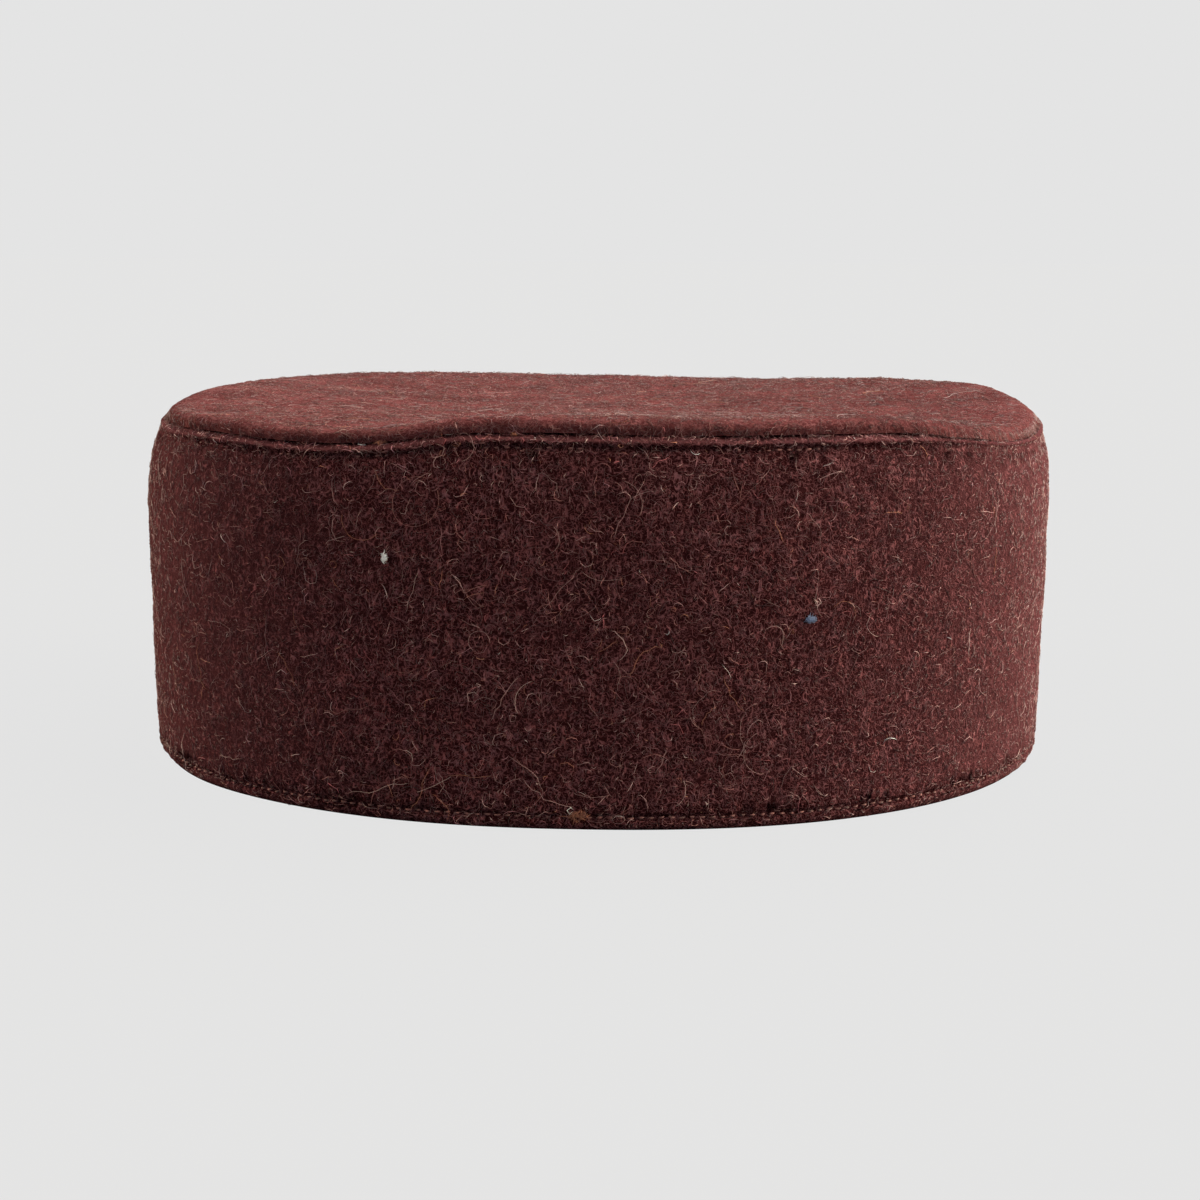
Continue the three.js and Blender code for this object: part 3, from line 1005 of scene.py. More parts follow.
def strand_mesh(name, paths, outward, thickness, dyes):
    """Closed three-sided fibres along paths, tapered to a point at both ends, joined in one mesh."""
    count, knots, _ = paths.shape
    ahead = np.gradient(paths, axis=1)
    ahead /= np.maximum(np.linalg.norm(ahead, axis=2, keepdims=True), TINY)
    side = np.cross(ahead, outward[:, None, :])
    side /= np.maximum(np.linalg.norm(side, axis=2, keepdims=True), TINY)
    up = np.cross(side, ahead)
    rings = []
    for k in range(3):
        angle = math.pi / 2 + FULL_TURN * k / 3
        rings.append(paths + thickness[:, None, None] / 2 * (math.cos(angle) * side + math.sin(angle) * up))
    rings = np.stack(rings, 2)[:, 1:-1]
    body = rings.reshape(count, (knots - 2) * 3, 3)
    points = np.concatenate([paths[:, :1], body, paths[:, -1:]], 1)
    per = points.shape[1]
    faces = []
    for k in range(3):
        faces.append([0, 1 + (k + 1) % 3, 1 + k])
        faces.append([per - 1, per - 4 + k, per - 4 + (k + 1) % 3])
        for ring in range(knots - 3):
            a, b = 1 + ring * 3 + k, 1 + ring * 3 + (k + 1) % 3
            faces.append([a, b, b + 3])
            faces.append([a, b + 3, a + 3])
    faces = np.array(faces)
    every = (np.arange(count)[:, None, None] * per + faces).reshape(-1, 3)
    cells = math.ceil(math.sqrt(count))
    row, column = np.divmod(np.arange(count), cells)
    knot = np.concatenate([[0], np.repeat(np.arange(1, knots - 1), 3), [knots - 1]]) / (knots - 1)
    turn = np.concatenate([[0.5], np.tile([0.0, 0.5, 1.0], knots - 2), [0.5]])
    u = (column[:, None] + 0.15 + 0.7 * knot) / cells
    v = (row[:, None] + 0.15 + 0.7 * turn) / cells
    uv = np.stack([u, v], -1).reshape(-1, 2)[every]
    tint = np.concatenate([dyes, np.ones((count, 1))], 1)
    return new_mesh(name, points.reshape(-1, 3), every, uv, np.repeat(tint, per, axis=0))


def pick_dyes(rng, roots, count, column):
    """A dye for each fibre: the shares of DYES, with redder and greyer patches."""
    shares = np.array([getattr(dye, column) for dye in DYES])
    colours = np.array([dye.colour for dye in DYES])
    names = [dye.name for dye in DYES]
    warmth = waves(roots, 0.018, 0.06, 18, SEEDS["warmth"])[:, None]
    weights = np.broadcast_to(shares, (count, len(shares))).copy()
    for name, pull in WARMTH_OF:
        weights[:, names.index(name)] *= np.exp(pull * warmth[:, 0])
    weights /= weights.sum(1, keepdims=True)
    picked = (rng.random((count, 1)) > np.cumsum(weights, 1)).sum(1)
    crown = column == "crown_share"
    shade = np.exp(rng.normal(*(CROWN_SHADE if crown else BAND_SHADE), (count, 1)))
    if crown:
        shade *= np.exp(0.2 * waves(roots, 0.0018, 0.006, 30, SEEDS["crown_shade"]))[:, None]
    tone = CROWN_TONE if crown else (1, 1, 1)
    # Lighter fibres are also made paler in green and blue: a painted sheen.
    return np.clip(colours[np.minimum(picked, len(DYES) - 1)] * tone * shade ** (1, 1.3, 1.3), 0, 1)


def grow(name, patch, rng, count, nap, length, kind, dyes=None):
    """Fibres on a patch: each starts in the cloth, arches over it and ends in or above it."""
    knots = kind.knots
    across, up = patch.spread(rng, 2 * count)
    bare = pits(across, up, patch.pitch) > rng.uniform(0.15, 1.3, len(across))
    thin = waves(patch.point(across, up, 0), 0.0013, 0.0030, 40, SEEDS["thin_places"])
    bare |= thin > rng.uniform(0.1, 0.9, len(across))
    across, up = across[~bare][:count], up[~bare][:count]
    count = len(across)
    lengths = length * np.exp(rng.normal(0, kind.spread, count))
    heading = rng.uniform(0, FULL_TURN, count)
    heading += 0.35 * np.sin(2 * heading)
    curl = rng.normal(0, kind.bend, count) * FULL_TURN
    t = np.linspace(0, 1, knots)[None, :]
    course = heading[:, None] + curl[:, None] * (t[:, 1:] + t[:, :-1]) / 2
    course = course + rng.normal(0, kind.kink, (count, knots - 1))
    step = lengths[:, None] / (knots - 1)
    dx = np.concatenate([np.zeros((count, 1)), np.cumsum(step * np.cos(course), 1)], 1)
    dy = np.concatenate([np.zeros((count, 1)), np.cumsum(step * np.sin(course), 1)], 1)
    across = across[:, None] + dx - dx.mean(1, keepdims=True)
    up = up[:, None] + dy - dy.mean(1, keepdims=True)
    calm = patch.calm(across[:, :1])
    crest = nap.stand * kind.stand * rng.uniform(0.25, 1.5, (count, 1)) * (1 - calm)
    free = np.where(rng.random((count, 1)) < 0.3, rng.uniform(0.3, 0.9, (count, 1)), 0)
    height = crest * (np.sin(math.pi * t) + free * t**2) - ROOT_DEPTH
    if hasattr(patch, "reach"):
        up = np.clip(up, patch.reach[0] - PAST_START, patch.reach[1] + PAST_END)
    paths = patch.point(across, up, height)
    outward = off_cloth(patch, across, up, height, paths)
    thick = nap.thickness * kind.thickness * rng.uniform(0.7, 1.4, count)
    if dyes is None:
        dyes = pick_dyes(rng, paths[:, 0], count, patch.dyed)
        dyes = dyes + (dyes.mean(0) - dyes) * calm
    dyes = dyes * (kind.crown_gain if patch.dyed == "crown_share" else kind.gain)
    # The fibres take the same painted shade in the hollows and painted light on the ridge.
    dark = HOLLOW_DARKENS * patch.hollow(across[:, knots // 2], up[:, knots // 2])
    return strand_mesh(name, paths, outward, thick, np.clip(dyes * (1 - dark)[:, None], 0, 1))


def off_cloth(patch, across, up, height, paths):
    """The direction off the cloth in the middle of each path."""
    outward = (patch.point(across, up, height + FEELER) - paths)[:, paths.shape[1] // 2]
    return outward / np.linalg.norm(outward, axis=1, keepdims=True)


# Materials


def new_group(name, inputs, outputs):
    """An empty shader node group with named sockets."""
    group = bpy.data.node_groups.new(name, "ShaderNodeTree")
    for label, kind, value in inputs:
        socket = group.interface.new_socket(name=label, in_out="INPUT", socket_type=kind)
        if value is not None:
            socket.default_value = value
    for label, kind in outputs:
        group.interface.new_socket(name=label, in_out="OUTPUT", socket_type=kind)
    return group


class Wiring:
    """Adds nodes to a tree and joins them: an input is given as a value or as another node's output."""

    def __init__(self, tree):
        self.tree = tree

    def add(self, kind, settings=None, **inputs):
        node = self.tree.nodes.new(kind)
        for label, value in (settings or {}).items():
            setattr(node, label, value)
        for label, value in inputs.items():
            self.feed(node.inputs[label.replace("_", " ")], value)
        return node

    def feed(self, socket, value):
        if isinstance(value, bpy.types.NodeSocket):
            self.tree.links.new(value, socket)
        elif value is not None:
            socket.default_value = value

    def maths(self, operation, a, b=None, clamp=False):
        node = self.tree.nodes.new("ShaderNodeMath")
        node.operation, node.use_clamp = operation, clamp
        self.feed(node.inputs[0], a)
        self.feed(node.inputs[1], b)
        return node.outputs[0]

    def shift(self, vector, offset):
        node = self.tree.nodes.new("ShaderNodeVectorMath")
        self.feed(node.inputs[0], vector)
        self.feed(node.inputs[1], offset)
        return node.outputs[0]

    def stretch(self, vector, scale):
        node = self.tree.nodes.new("ShaderNodeVectorMath")
        node.operation = "MULTIPLY"
        self.feed(node.inputs[0], vector)
        self.feed(node.inputs[1], scale)
        return node.outputs[0]

    def span(self, value, low, high, to_low=0.0, to_high=1.0):
        node = self.tree.nodes.new("ShaderNodeMapRange")
        self.feed(node.inputs["Value"], value)
        for label, number in (("From Min", low), ("From Max", high), ("To Min", to_low), ("To Max", to_high)):
            node.inputs[label].default_value = number
        return node.outputs["Result"]

    def mix(self, share, a, b):
        node = self.tree.nodes.new("ShaderNodeMix")
        node.data_type = "RGBA"
        for label, value in (("Factor_Float", share), ("A_Color", a), ("B_Color", b)):
            socket = next(s for s in node.inputs if s.identifier == label)
            self.feed(socket, (*value, 1) if isinstance(value, tuple) else value)
        return next(s for s in node.outputs if s.identifier == "Result_Color")


# Size and stretch of each layer of lines, upper layers first.
STRAND_LAYERS = ((1.0, (1.0, 1.0, 0.6)), (1.35, (0.7, 1.0, 1.2)), (1.7, (1.2, 0.8, 1.0)), (2.3, (0.9, 1.1, 0.8)))


def strand_group():
    """Tangled fibres: thin winding lines in four layers, two upper and two under, with grain between them."""
    group = new_group(
        "tangled_strands",
        [("Vector", "NodeSocketVector", None), ("Scale", "NodeSocketFloat", 500.0), ("Thin", "NodeSocketFloat", 7.0)],
        [
            ("Height", "NodeSocketFloat"),
            ("Upper", "NodeSocketFloat"),
            ("Under", "NodeSocketFloat"),
            ("Fleck", "NodeSocketFloat"),
        ],
    )
    w = Wiring(group)
    given = w.add("NodeGroupInput")
    vector, scale, thin = (given.outputs[label] for label in ("Vector", "Scale", "Thin"))
    layers = []
    for k, (size, stretch) in enumerate(STRAND_LAYERS):
        moved = w.shift(w.stretch(vector, stretch), (0.37 * k + 0.11, 0.53 * k, 0.29 * k))
        noise = w.add(
            "ShaderNodeTexNoise",
            Vector=moved,
            Scale=w.maths("MULTIPLY", scale, size),
            Detail=1.0,
            Roughness=0.4,
            Distortion=1.2,
        )
        away = w.maths("ABSOLUTE", w.maths("SUBTRACT", noise.outputs["Fac"], 0.5))
        layers.append(w.maths("SUBTRACT", 1.0, w.maths("MULTIPLY", away, thin), clamp=True))
    upper = w.maths("MAXIMUM", layers[0], layers[1])
    under = w.maths("MAXIMUM", layers[2], layers[3])
    grain = w.add("ShaderNodeTexNoise", Vector=vector, Scale=w.maths("MULTIPLY", scale, 5.0), Detail=2.0)
    fleck = w.add("ShaderNodeTexNoise", Vector=w.shift(vector, (0.7, 0.2, 0.4)), Scale=w.maths("MULTIPLY", scale, 0.7))
    lines = w.maths("MAXIMUM", upper, w.maths("MULTIPLY", under, 0.55))
    out = w.add("NodeGroupOutput")
    w.feed(out.inputs["Height"], w.maths("ADD", lines, w.maths("MULTIPLY", grain.outputs["Fac"], 0.3)))
    w.feed(out.inputs["Upper"], upper)
    w.feed(out.inputs["Under"], under)
    w.feed(out.inputs["Fleck"], w.span(fleck.outputs["Fac"], 0.38, 0.62))
    return group


def pit_group():
    """Rows of small pits where the weave shows through the nap, as the function pits says."""
    group = new_group(
        "woven_pits",
        [("Vector", "NodeSocketVector", None), ("Pitch", "NodeSocketFloat", 0.0017)],
        [("Pit", "NodeSocketFloat")],
    )
    w = Wiring(group)
    given = w.add("NodeGroupInput")
    parts = w.add("ShaderNodeSeparateXYZ", Vector=given.outputs["Vector"])
    across, up = parts.outputs["X"], parts.outputs["Y"]
    number = w.maths("DIVIDE", FULL_TURN, given.outputs["Pitch"])

    def rows(along, other, slow, sway, quick):
        inner = w.maths("MULTIPLY", w.maths("SINE", w.maths("MULTIPLY", along, quick)), sway)
        wander = w.maths("SINE", w.maths("ADD", w.maths("MULTIPLY", other, slow), inner))
        phase = w.maths("ADD", w.maths("MULTIPLY", along, number), w.maths("MULTIPLY", wander, 1.6))
        return w.maths("MAXIMUM", w.maths("SINE", phase), 0.0)

    both = w.maths("MULTIPLY", rows(across, up, 190.0, 0.7, 310.0), rows(up, across, 230.0, 0.9, 280.0))
    patch = w.add("ShaderNodeTexNoise", Vector=given.outputs["Vector"], Scale=45.0, Detail=2.0)
    both = w.maths("MULTIPLY", both, w.span(patch.outputs["Fac"], 0.38, 0.66))
    out = w.add("NodeGroupOutput")
    w.feed(out.inputs["Pit"], both)
    return group


def new_material(name):
    """An empty material, its Principled shader and the wiring of its tree."""
    material = bpy.data.materials.new(name)
    material.use_nodes = True
    w = Wiring(material.node_tree)
    shader = material.node_tree.nodes["Principled BSDF"]
    return material, shader, w


def cloth_material(name, nap, groups, cloth_scale, lighter, softer, tone=(1, 1, 1)):
    """Brushed wool under its nap: dark gaps, tangled strands, red and grey flecks and a faint weave."""
    material, shader, w = new_material(name)
    place_at = w.add("ShaderNodeTexCoord").outputs["Object"]
    map_at = w.add("ShaderNodeUVMap", {"uv_map": "OFBake"}).outputs["UV"]
    cloth_at = w.stretch(map_at, (*cloth_scale, 1.0))
    strands = w.add("ShaderNodeGroup", {"node_tree": groups["strands"]}, Vector=place_at, Scale=760.0, Thin=20.0)
    woven = w.add("ShaderNodeGroup", {"node_tree": groups["pits"]}, Vector=cloth_at, Pitch=nap.pit_pitch)
    broad = w.add("ShaderNodeTexNoise", Vector=place_at, Scale=26.0, Detail=3.0)
    patch = w.add("ShaderNodeTexNoise", Vector=w.shift(place_at, (0.4, 0.1, 0.3)), Scale=140.0, Detail=3.0)
    # On the crown, lighter is painted light: the crown's wool is painted lighter for the light and sheen on its top.
    lit = tuple(min(1.0, c * t * lighter * (1 - 0.25 * softer)) for c, t in zip(nap.cloth_light, tone))
    mid = tuple(min(1.0, c * t * lighter * (1 + 0.6 * softer)) for c, t in zip(nap.cloth_mid, tone))
    dark = tuple(a + (b - a) * softer for a, b in zip(nap.cloth_dark, mid))
    rust = (lit[0] * 1.1, lit[1] * 0.85, lit[2] * 0.78)
    ash = (lit[0] * 0.95, lit[1] * 1.1, lit[2] * 1.14)
    # The dark ground and the dimmer under strands are partly the wool's own colour and partly painted shade between
    # the fibres.
    ground = w.mix(w.span(patch.outputs["Fac"], 0.35, 0.7, 0.0, 0.35), dark, mid)
    under = w.mix(w.maths("MULTIPLY", strands.outputs["Under"], 0.9), ground, mid)
    upper = w.mix(strands.outputs["Fleck"], ash, rust)
    upper = w.mix(w.span(broad.outputs["Fac"], 0.35, 0.65, 0.3, 0.8), upper, lit)
    colour = w.mix(w.maths("MULTIPLY", strands.outputs["Upper"], 0.78 - 0.25 * softer), under, upper)
    # The pits of the weave are painted darker: partly the weave's own colour and partly painted shade in them.
    colour = w.mix(w.maths("MULTIPLY", woven.outputs["Pit"], 0.85 - 0.5 * softer), colour, dark)
    broad_part, fine_part = (w.span(noise.outputs["Fac"], 0.3, 0.7, 0.0, 0.5) for noise in (broad, patch))
    colour = w.mix(w.maths("MULTIPLY", w.maths("ADD", broad_part, fine_part), 0.4), colour, dark)
    # The hollow attribute paints shade towards deep in the hollows and light towards full on the ridge and at the
    # lighter ends; on the crown it also holds darker worn patches.
    shaded = w.add("ShaderNodeAttribute", {"attribute_name": "hollow"}).outputs["Fac"]
    full = tuple(0.35 * a + 0.65 * b for a, b in zip(lit, mid))
    deep = tuple(c * 0.3 + 0.15 * softer * m for c, m in zip(nap.cloth_dark, mid))
    colour = w.mix(w.maths("MULTIPLY", shaded, -1.0, clamp=True), colour, full)
    colour = w.mix(w.maths("MAXIMUM", shaded, 0.0), colour, deep)
    w.feed(shader.inputs["Base Color"], colour)
    shader.inputs["Roughness"].default_value = 0.92
    shader.inputs["Specular IOR Level"].default_value = 0.0
    lowered = w.maths("SUBTRACT", strands.outputs["Height"], w.maths("MULTIPLY", woven.outputs["Pit"], 0.9))
    bump = w.add("ShaderNodeBump", Height=lowered)
    bump.inputs["Strength"].default_value = 0.9 - 0.6 * softer
    bump.inputs["Distance"].default_value = 0.00028
    w.feed(shader.inputs["Normal"], bump.outputs["Normal"])
    return material


def fibre_material(name, specular, spots):
    """Single wool fibres, coloured by their own dye, a little darker and lighter along their length."""
    material, shader, w = new_material(name)
    dye = w.add("ShaderNodeAttribute", {"attribute_name": "dye"}).outputs["Color"]
    place_at = w.add("ShaderNodeTexCoord").outputs["Object"]
    noise = w.add("ShaderNodeTexNoise", Vector=place_at, Scale=1400.0, Detail=1.0)
    darker = w.mix(w.span(noise.outputs["Fac"], 0.3, 0.7, 0.0, spots), dye, (0.007, 0.003, 0.003))
    w.feed(shader.inputs["Base Color"], darker)
    shader.inputs["Roughness"].default_value = 0.45
    shader.inputs["Specular IOR Level"].default_value = specular
    return material


def thread_material(thread):
    """Spun sewing thread: fine plies twisted round it, dusted with the same wool."""
    material, shader, w = new_material("thread")
    place_at = w.add("ShaderNodeTexCoord").outputs["Object"]
    map_at = w.add("ShaderNodeUVMap", {"uv_map": "OFBake"}).outputs["UV"]
    plies = w.add("ShaderNodeTexWave", Vector=map_at, Scale=90.0, Distortion=1.0)
    noise = w.add("ShaderNodeTexNoise", Vector=place_at, Scale=900.0, Detail=2.0)
    colour = tuple(thread.colour)
    dark = tuple(c * 0.35 for c in colour)
    light = tuple(min(1.0, c * 1.7) for c in colour)
    plied = w.mix(plies.outputs["Fac"], colour, light)
    w.feed(shader.inputs["Base Color"], w.mix(w.span(noise.outputs["Fac"], 0.4, 0.65), plied, dark))
    shader.inputs["Roughness"].default_value = 0.6
    bump = w.add("ShaderNodeBump", Height=plies.outputs["Fac"])
    bump.inputs["Strength"].default_value = 0.4
    bump.inputs["Distance"].default_value = 0.0001
    w.feed(shader.inputs["Normal"], bump.outputs["Normal"])
    return material


def shared(name, make):
    """A material or a node group that is made once and then used again."""
    found = bpy.data.materials.get(name) or bpy.data.node_groups.get(name)
    return found or make()


def groups_of():
    return {"strands": shared("tangled_strands", strand_group), "pits": shared("woven_pits", pit_group)}


def fibre_of(slot):
    """The fibres' material for the band or the crown. The crown's wool is worn dull."""
    if slot == "crown_wool":
        return shared("crown_fibre", lambda: fibre_material("crown_fibre", 0.2, 0.3))
    return shared("wool_fibre", lambda: fibre_material("wool_fibre", 0.4, 0.45))


# Stitches


def stitch_model(thread):
    """One stitch, modelled from a sphere: a short thread, thicker in the middle, whose ends dive into the cloth."""
    bpy.ops.object.select_all(action="DESELECT")
    bpy.ops.mesh.primitive_uv_sphere_add(segments=6, ring_count=5, radius=0.5, rotation=(0, math.pi / 2, 0))
    model = bpy.context.object
    bpy.ops.object.transform_apply(location=True, rotation=True, scale=True)
    bpy.ops.object.mode_set(mode="EDIT")
    bpy.ops.mesh.select_all(action="SELECT")
    bpy.ops.transform.resize(value=(thread.stitch, thread.thickness, thread.thickness))
    bpy.ops.mesh.quads_convert_to_tris()
    bpy.ops.object.mode_set(mode="OBJECT")
    mesh = model.data
    points = np.empty(len(mesh.vertices) * 3)
    mesh.vertices.foreach_get("co", points)
    points = points.reshape(-1, 3)
    faces = np.empty(len(mesh.polygons) * 3, int)
    mesh.polygons.foreach_get("vertices", faces)
    faces = sort_faces(faces.reshape(-1, 3))
    bpy.data.objects.remove(model)
    bow = (points[:, 0] / (thread.stitch / 2)) ** 2
    points[:, 2] -= thread.thickness * 0.75 * bow
    return points, faces


def sort_faces(faces):
    """The same triangles in one fixed order, since splitting quads leaves them in an order that changes each run."""
    turned = (faces.argmin(1)[:, None] + np.arange(3)) % 3
    faces = np.take_along_axis(faces, turned, 1)
    return faces[np.lexsort(faces.T[::-1])]


def stitch_row(name, size, thread, row_z, sunk, rng):
    """A row of stitches round the cap: copies of the one stitch, each a little out of true."""
    model, faces = stitch_model(thread)
    girth, count = Girth(size), stitch_count(size, thread)
    middle = (np.arange(count) + 0.5) * girth.length / count
    turn = girth.turn_at(middle)
    depth = -sunk - 0.00025 * end_share(turn) + rng.normal(0, 0.00009, count)
    wobble = rng.normal(-0.00022, 0.00006, count)
    centre = place(size, turn, depth, row_z + wobble)
    ahead = place(size, girth.turn_at(middle + FEELER), depth, row_z + wobble) - centre
    out = place(size, turn, depth + FEELER, row_z + wobble) - centre
    ahead /= np.linalg.norm(ahead, axis=1, keepdims=True)
    up = np.cross(out, ahead)
    up /= np.linalg.norm(up, axis=1, keepdims=True)
    out = np.cross(ahead, up)
    tilt = rng.normal(math.radians(4), math.radians(5), (count, 1))
    ahead, up = ahead * np.cos(tilt) + up * np.sin(tilt), up * np.cos(tilt) - ahead * np.sin(tilt)
    long_by = rng.uniform(0.85, 1.1, (count, 1, 1))
    points = (
        centre[:, None, :]
        + model[None, :, :1] * long_by * ahead[:, None, :]
        + model[None, :, 1:2] * up[:, None, :]
        + model[None, :, 2:] * out[:, None, :]
    )
    every = (np.arange(count)[:, None, None] * len(model) + faces).reshape(-1, 3)
    u = (middle[:, None] + model[None, :, 0]) / girth.length
    v = np.broadcast_to(0.5 + model[None, :, 1] / thread.thickness * 0.8, u.shape)
    uv = np.stack([np.mod(u, 1), v], -1).reshape(-1, 2)[every]
    return new_mesh(name, points.reshape(-1, 3), every, uv)


# Operators


class KUFI_OT_band(bpy.types.Operator):
    """Make the side band's cloth, with its fold, stitch grooves and hem"""

    bl_idname = "kufi.band"
    bl_label = "Side Band"

    def execute(self, context):
        size, nap, thread = context.scene.kufi_shape, context.scene.kufi_nap, context.scene.kufi_thread
        band = make_band(size, thread)
        section, girth = BandSection(size), Girth(size)
        material = cloth_material("band_wool", nap, groups_of(), (girth.length, section.around), 1.0, 0.0)
        finish_piece(band, material, "band_wool", "side_band")
        return {"FINISHED"}


class KUFI_OT_crown(bpy.types.Operator):
    """Make the crown's cloth, with its rolled edge and the allowance inside"""

    bl_idname = "kufi.crown"
    bl_label = "Crown"

    def execute(self, context):
        size, nap = context.scene.kufi_shape, context.scene.kufi_nap
        crown = make_crown(size)
        material = cloth_material(
            "crown_wool", nap, groups_of(), CROWN_MAP_SIZE, nap.crown_painted_light, CROWN_SOFTER, CROWN_TONE
        )
        finish_piece(crown, material, "crown_wool", "crown_panel")
        return {"FINISHED"}


class KUFI_OT_stitches(bpy.types.Operator):
    """Sew the topstitching and the hem's row of stitches"""

    bl_idname = "kufi.stitches"
    bl_label = "Stitches"

    def execute(self, context):
        size, thread = context.scene.kufi_shape, context.scene.kufi_thread
        rng = np.random.default_rng(SEEDS["stitches"])
        material = shared("thread", lambda: thread_material(thread))
        rows = (
            ("topstitching", seam_height(size) - size.top_stitch, thread.sunk_deep),
            ("hem_stitching", size.hem_stitch, thread.sunk),
        )
        for name, row_z, sunk in rows:
            finish_piece(stitch_row(name, size, thread, row_z, sunk, rng), material, "band_wool")
        return {"FINISHED"}


class KUFI_OT_nap(bpy.types.Operator):
    """Raise the nap: short and curled fibres over every outer face, and a few inside"""

    bl_idname = "kufi.nap"
    bl_label = "Nap"

    def execute(self, context):
        size, nap = context.scene.kufi_shape, context.scene.kufi_nap
        thin_out = 1
        patches = (
            ("band", BandPatch(size), "band_wool"),
            ("roll", RollPatch(size), "crown_wool"),
            ("top", DiscPatch(size), "crown_wool"),
        )
        whole = sum(patch.area() for _, patch, _ in patches)
        rng = np.random.default_rng(SEEDS["seam_nap"])
        count = nap.seam_count // thin_out
        bridge = grow("seam_nap", SeamPatch(size), rng, count, nap, nap.curl_length * 0.7, SEAM_FIBRE)
        finish_piece(bridge, fibre_of("crown_wool"), "crown_wool")
        for k, (name, patch, slot) in enumerate(patches):
            share = patch.area() / whole / thin_out
            rng = np.random.default_rng(SEEDS["nap"] + k)
            kinds = (
                ("short", round(nap.short_count * share), nap.short_length, SHORT_FIBRE),
                ("curled", round(nap.curl_count * share), nap.curl_length, CURLED_FIBRE),
            )
            parts = 2 if name == "band" else 1
            for part in range(parts):
                for look, count, length, kind in kinds:
                    label = f"{name}_nap_{look}_{part + 1}"
                    fibres = grow(label, patch, rng, count // parts, nap, length, kind)
                    finish_piece(fibres, fibre_of(slot), slot)
        rng = np.random.default_rng(SEEDS["inside_nap"])
        count = nap.inside_count // thin_out
        inside = grow("inside_nap", InsidePatch(size), rng, count, nap, nap.curl_length, INSIDE_FIBRE)
        finish_piece(inside, fibre_of("band_wool"), "band_wool")
        return {"FINISHED"}


class KUFI_OT_hairs(bpy.types.Operator):
    """Lay the long stray hairs on the nap"""

    bl_idname = "kufi.hairs"
    bl_label = "Stray Hairs"

    def execute(self, context):
        size, nap = context.scene.kufi_shape, context.scene.kufi_nap
        patches = (BandPatch(size), RollPatch(size), DiscPatch(size))
        whole = sum(patch.area() for patch in patches)
        for k, (name, patch) in enumerate(zip(("band", "roll", "top"), patches)):
            rng = np.random.default_rng(SEEDS["hairs"] + k)
            count = round(nap.hair_count * patch.area() / whole)
            dyes = hair_dyes(rng, count)
            hairs = grow(f"{name}_hairs", patch, rng, count, nap, nap.hair_length, STRAY_HAIR, dyes)
            slot = "band_wool" if name == "band" else "crown_wool"
            finish_piece(hairs, fibre_of(slot), slot)
        finish_piece(picked_hairs(size, nap), fibre_of("band_wool"), "band_wool")
        return {"FINISHED"}


def dye_named(name):
    return np.array(next(dye.colour for dye in DYES if dye.name == name))


def hair_dyes(rng, count):
    """A dye for each stray hair."""
    choices = np.array([dye_named(name) for name, _ in HAIR_DYES])
    return choices[rng.choice(len(choices), count, p=[share for _, share in HAIR_DYES])]


def picked_hairs(size, nap):
    """The hairs listed one by one, each along its own bend."""
    patch = BandPatch(size)
    knots = PICKED_KNOTS
    t = np.linspace(0, 1, knots)
    paths, outward, dyes = [], [], []
    for row in PICKED_HAIRS:
        course = np.radians(row.heading) + FULL_TURN * row.bend * (t[1:] + t[:-1]) / 2
        step = row.length * MM / (knots - 1)
        dx = np.concatenate([[0], np.cumsum(step * np.cos(course))])
        dy = np.concatenate([[0], np.cumsum(step * np.sin(course))])
        across = patch.girth.distance_at(row.turn) + dx
        start = np.interp(row.height * size.height, patch.z, patch.along)
        up = np.clip(start + dy, *patch.reach)
        height = nap.stand * (1.1 + 0.9 * np.sin(math.pi * t) + 0.35 * np.sin(5 * math.pi * t))
        path = patch.point(across, up, height)[None]
        paths.append(path)
        outward.append(off_cloth(patch, across[None], up[None], height[None], path))
        dyes.append(dye_named(row.dye))
    thick = np.full(len(paths), PICKED_THICKNESS * nap.thickness)
    return strand_mesh("picked_hairs", np.concatenate(paths), np.concatenate(outward), thick, np.array(dyes))


class KUFI_OT_lint(bpy.types.Operator):
    """Catch the specks of lint and the coloured tufts in the nap"""

    bl_idname = "kufi.lint"
    bl_label = "Lint and Tufts"

    def execute(self, context):
        size, nap = context.scene.kufi_shape, context.scene.kufi_nap
        for k, row in enumerate(TUFTS):
            rng = np.random.default_rng(SEEDS["tufts"] + k)
            finish_piece(tuft(row, size, nap, rng), fibre_of("band_wool"), "band_wool")
        return {"FINISHED"}


def tuft(row, size, nap, rng):
    """A loose knot of fine fibres, denser in its middle."""
    patch = BandPatch(size)
    knots = TUFT_KNOTS
    t = np.linspace(0, 1, knots)[None, :]
    count = row.strands
    width, drop = row.width * MM, row.drop * MM
    course = rng.uniform(0, FULL_TURN, (count, 1)) + FULL_TURN * rng.normal(0, 0.6, (count, 1)) * t
    step = rng.uniform(0.8, 1.6, (count, 1)) * (width + drop) / 2 / (knots - 1)
    dx = np.cumsum(step * np.cos(course), 1)
    dy = np.cumsum(step * np.sin(course), 1)
    across = patch.girth.distance_at(row.turn) + dx - dx.mean(1, keepdims=True)
    across = across + rng.normal(0, width / 4, (count, 1))
    start = np.interp(row.height * size.height, patch.z, patch.along)
    up = np.clip(start + dy - dy.mean(1, keepdims=True) + rng.normal(0, drop / 4, (count, 1)), *patch.reach)
    height = nap.stand * (0.5 + 1.4 * np.sin(math.pi * t) * rng.random((count, 1)))
    paths = patch.point(across, up, height)
    outward = off_cloth(patch, across, up, height, paths)
    dyes = np.clip(dye_named(row.dye) * rng.uniform(0.6, 1.15, (count, 1)), 0, 1)
    return strand_mesh(row.name, paths, outward, np.full(count, nap.thickness * TUFT_THICKNESS), dyes)


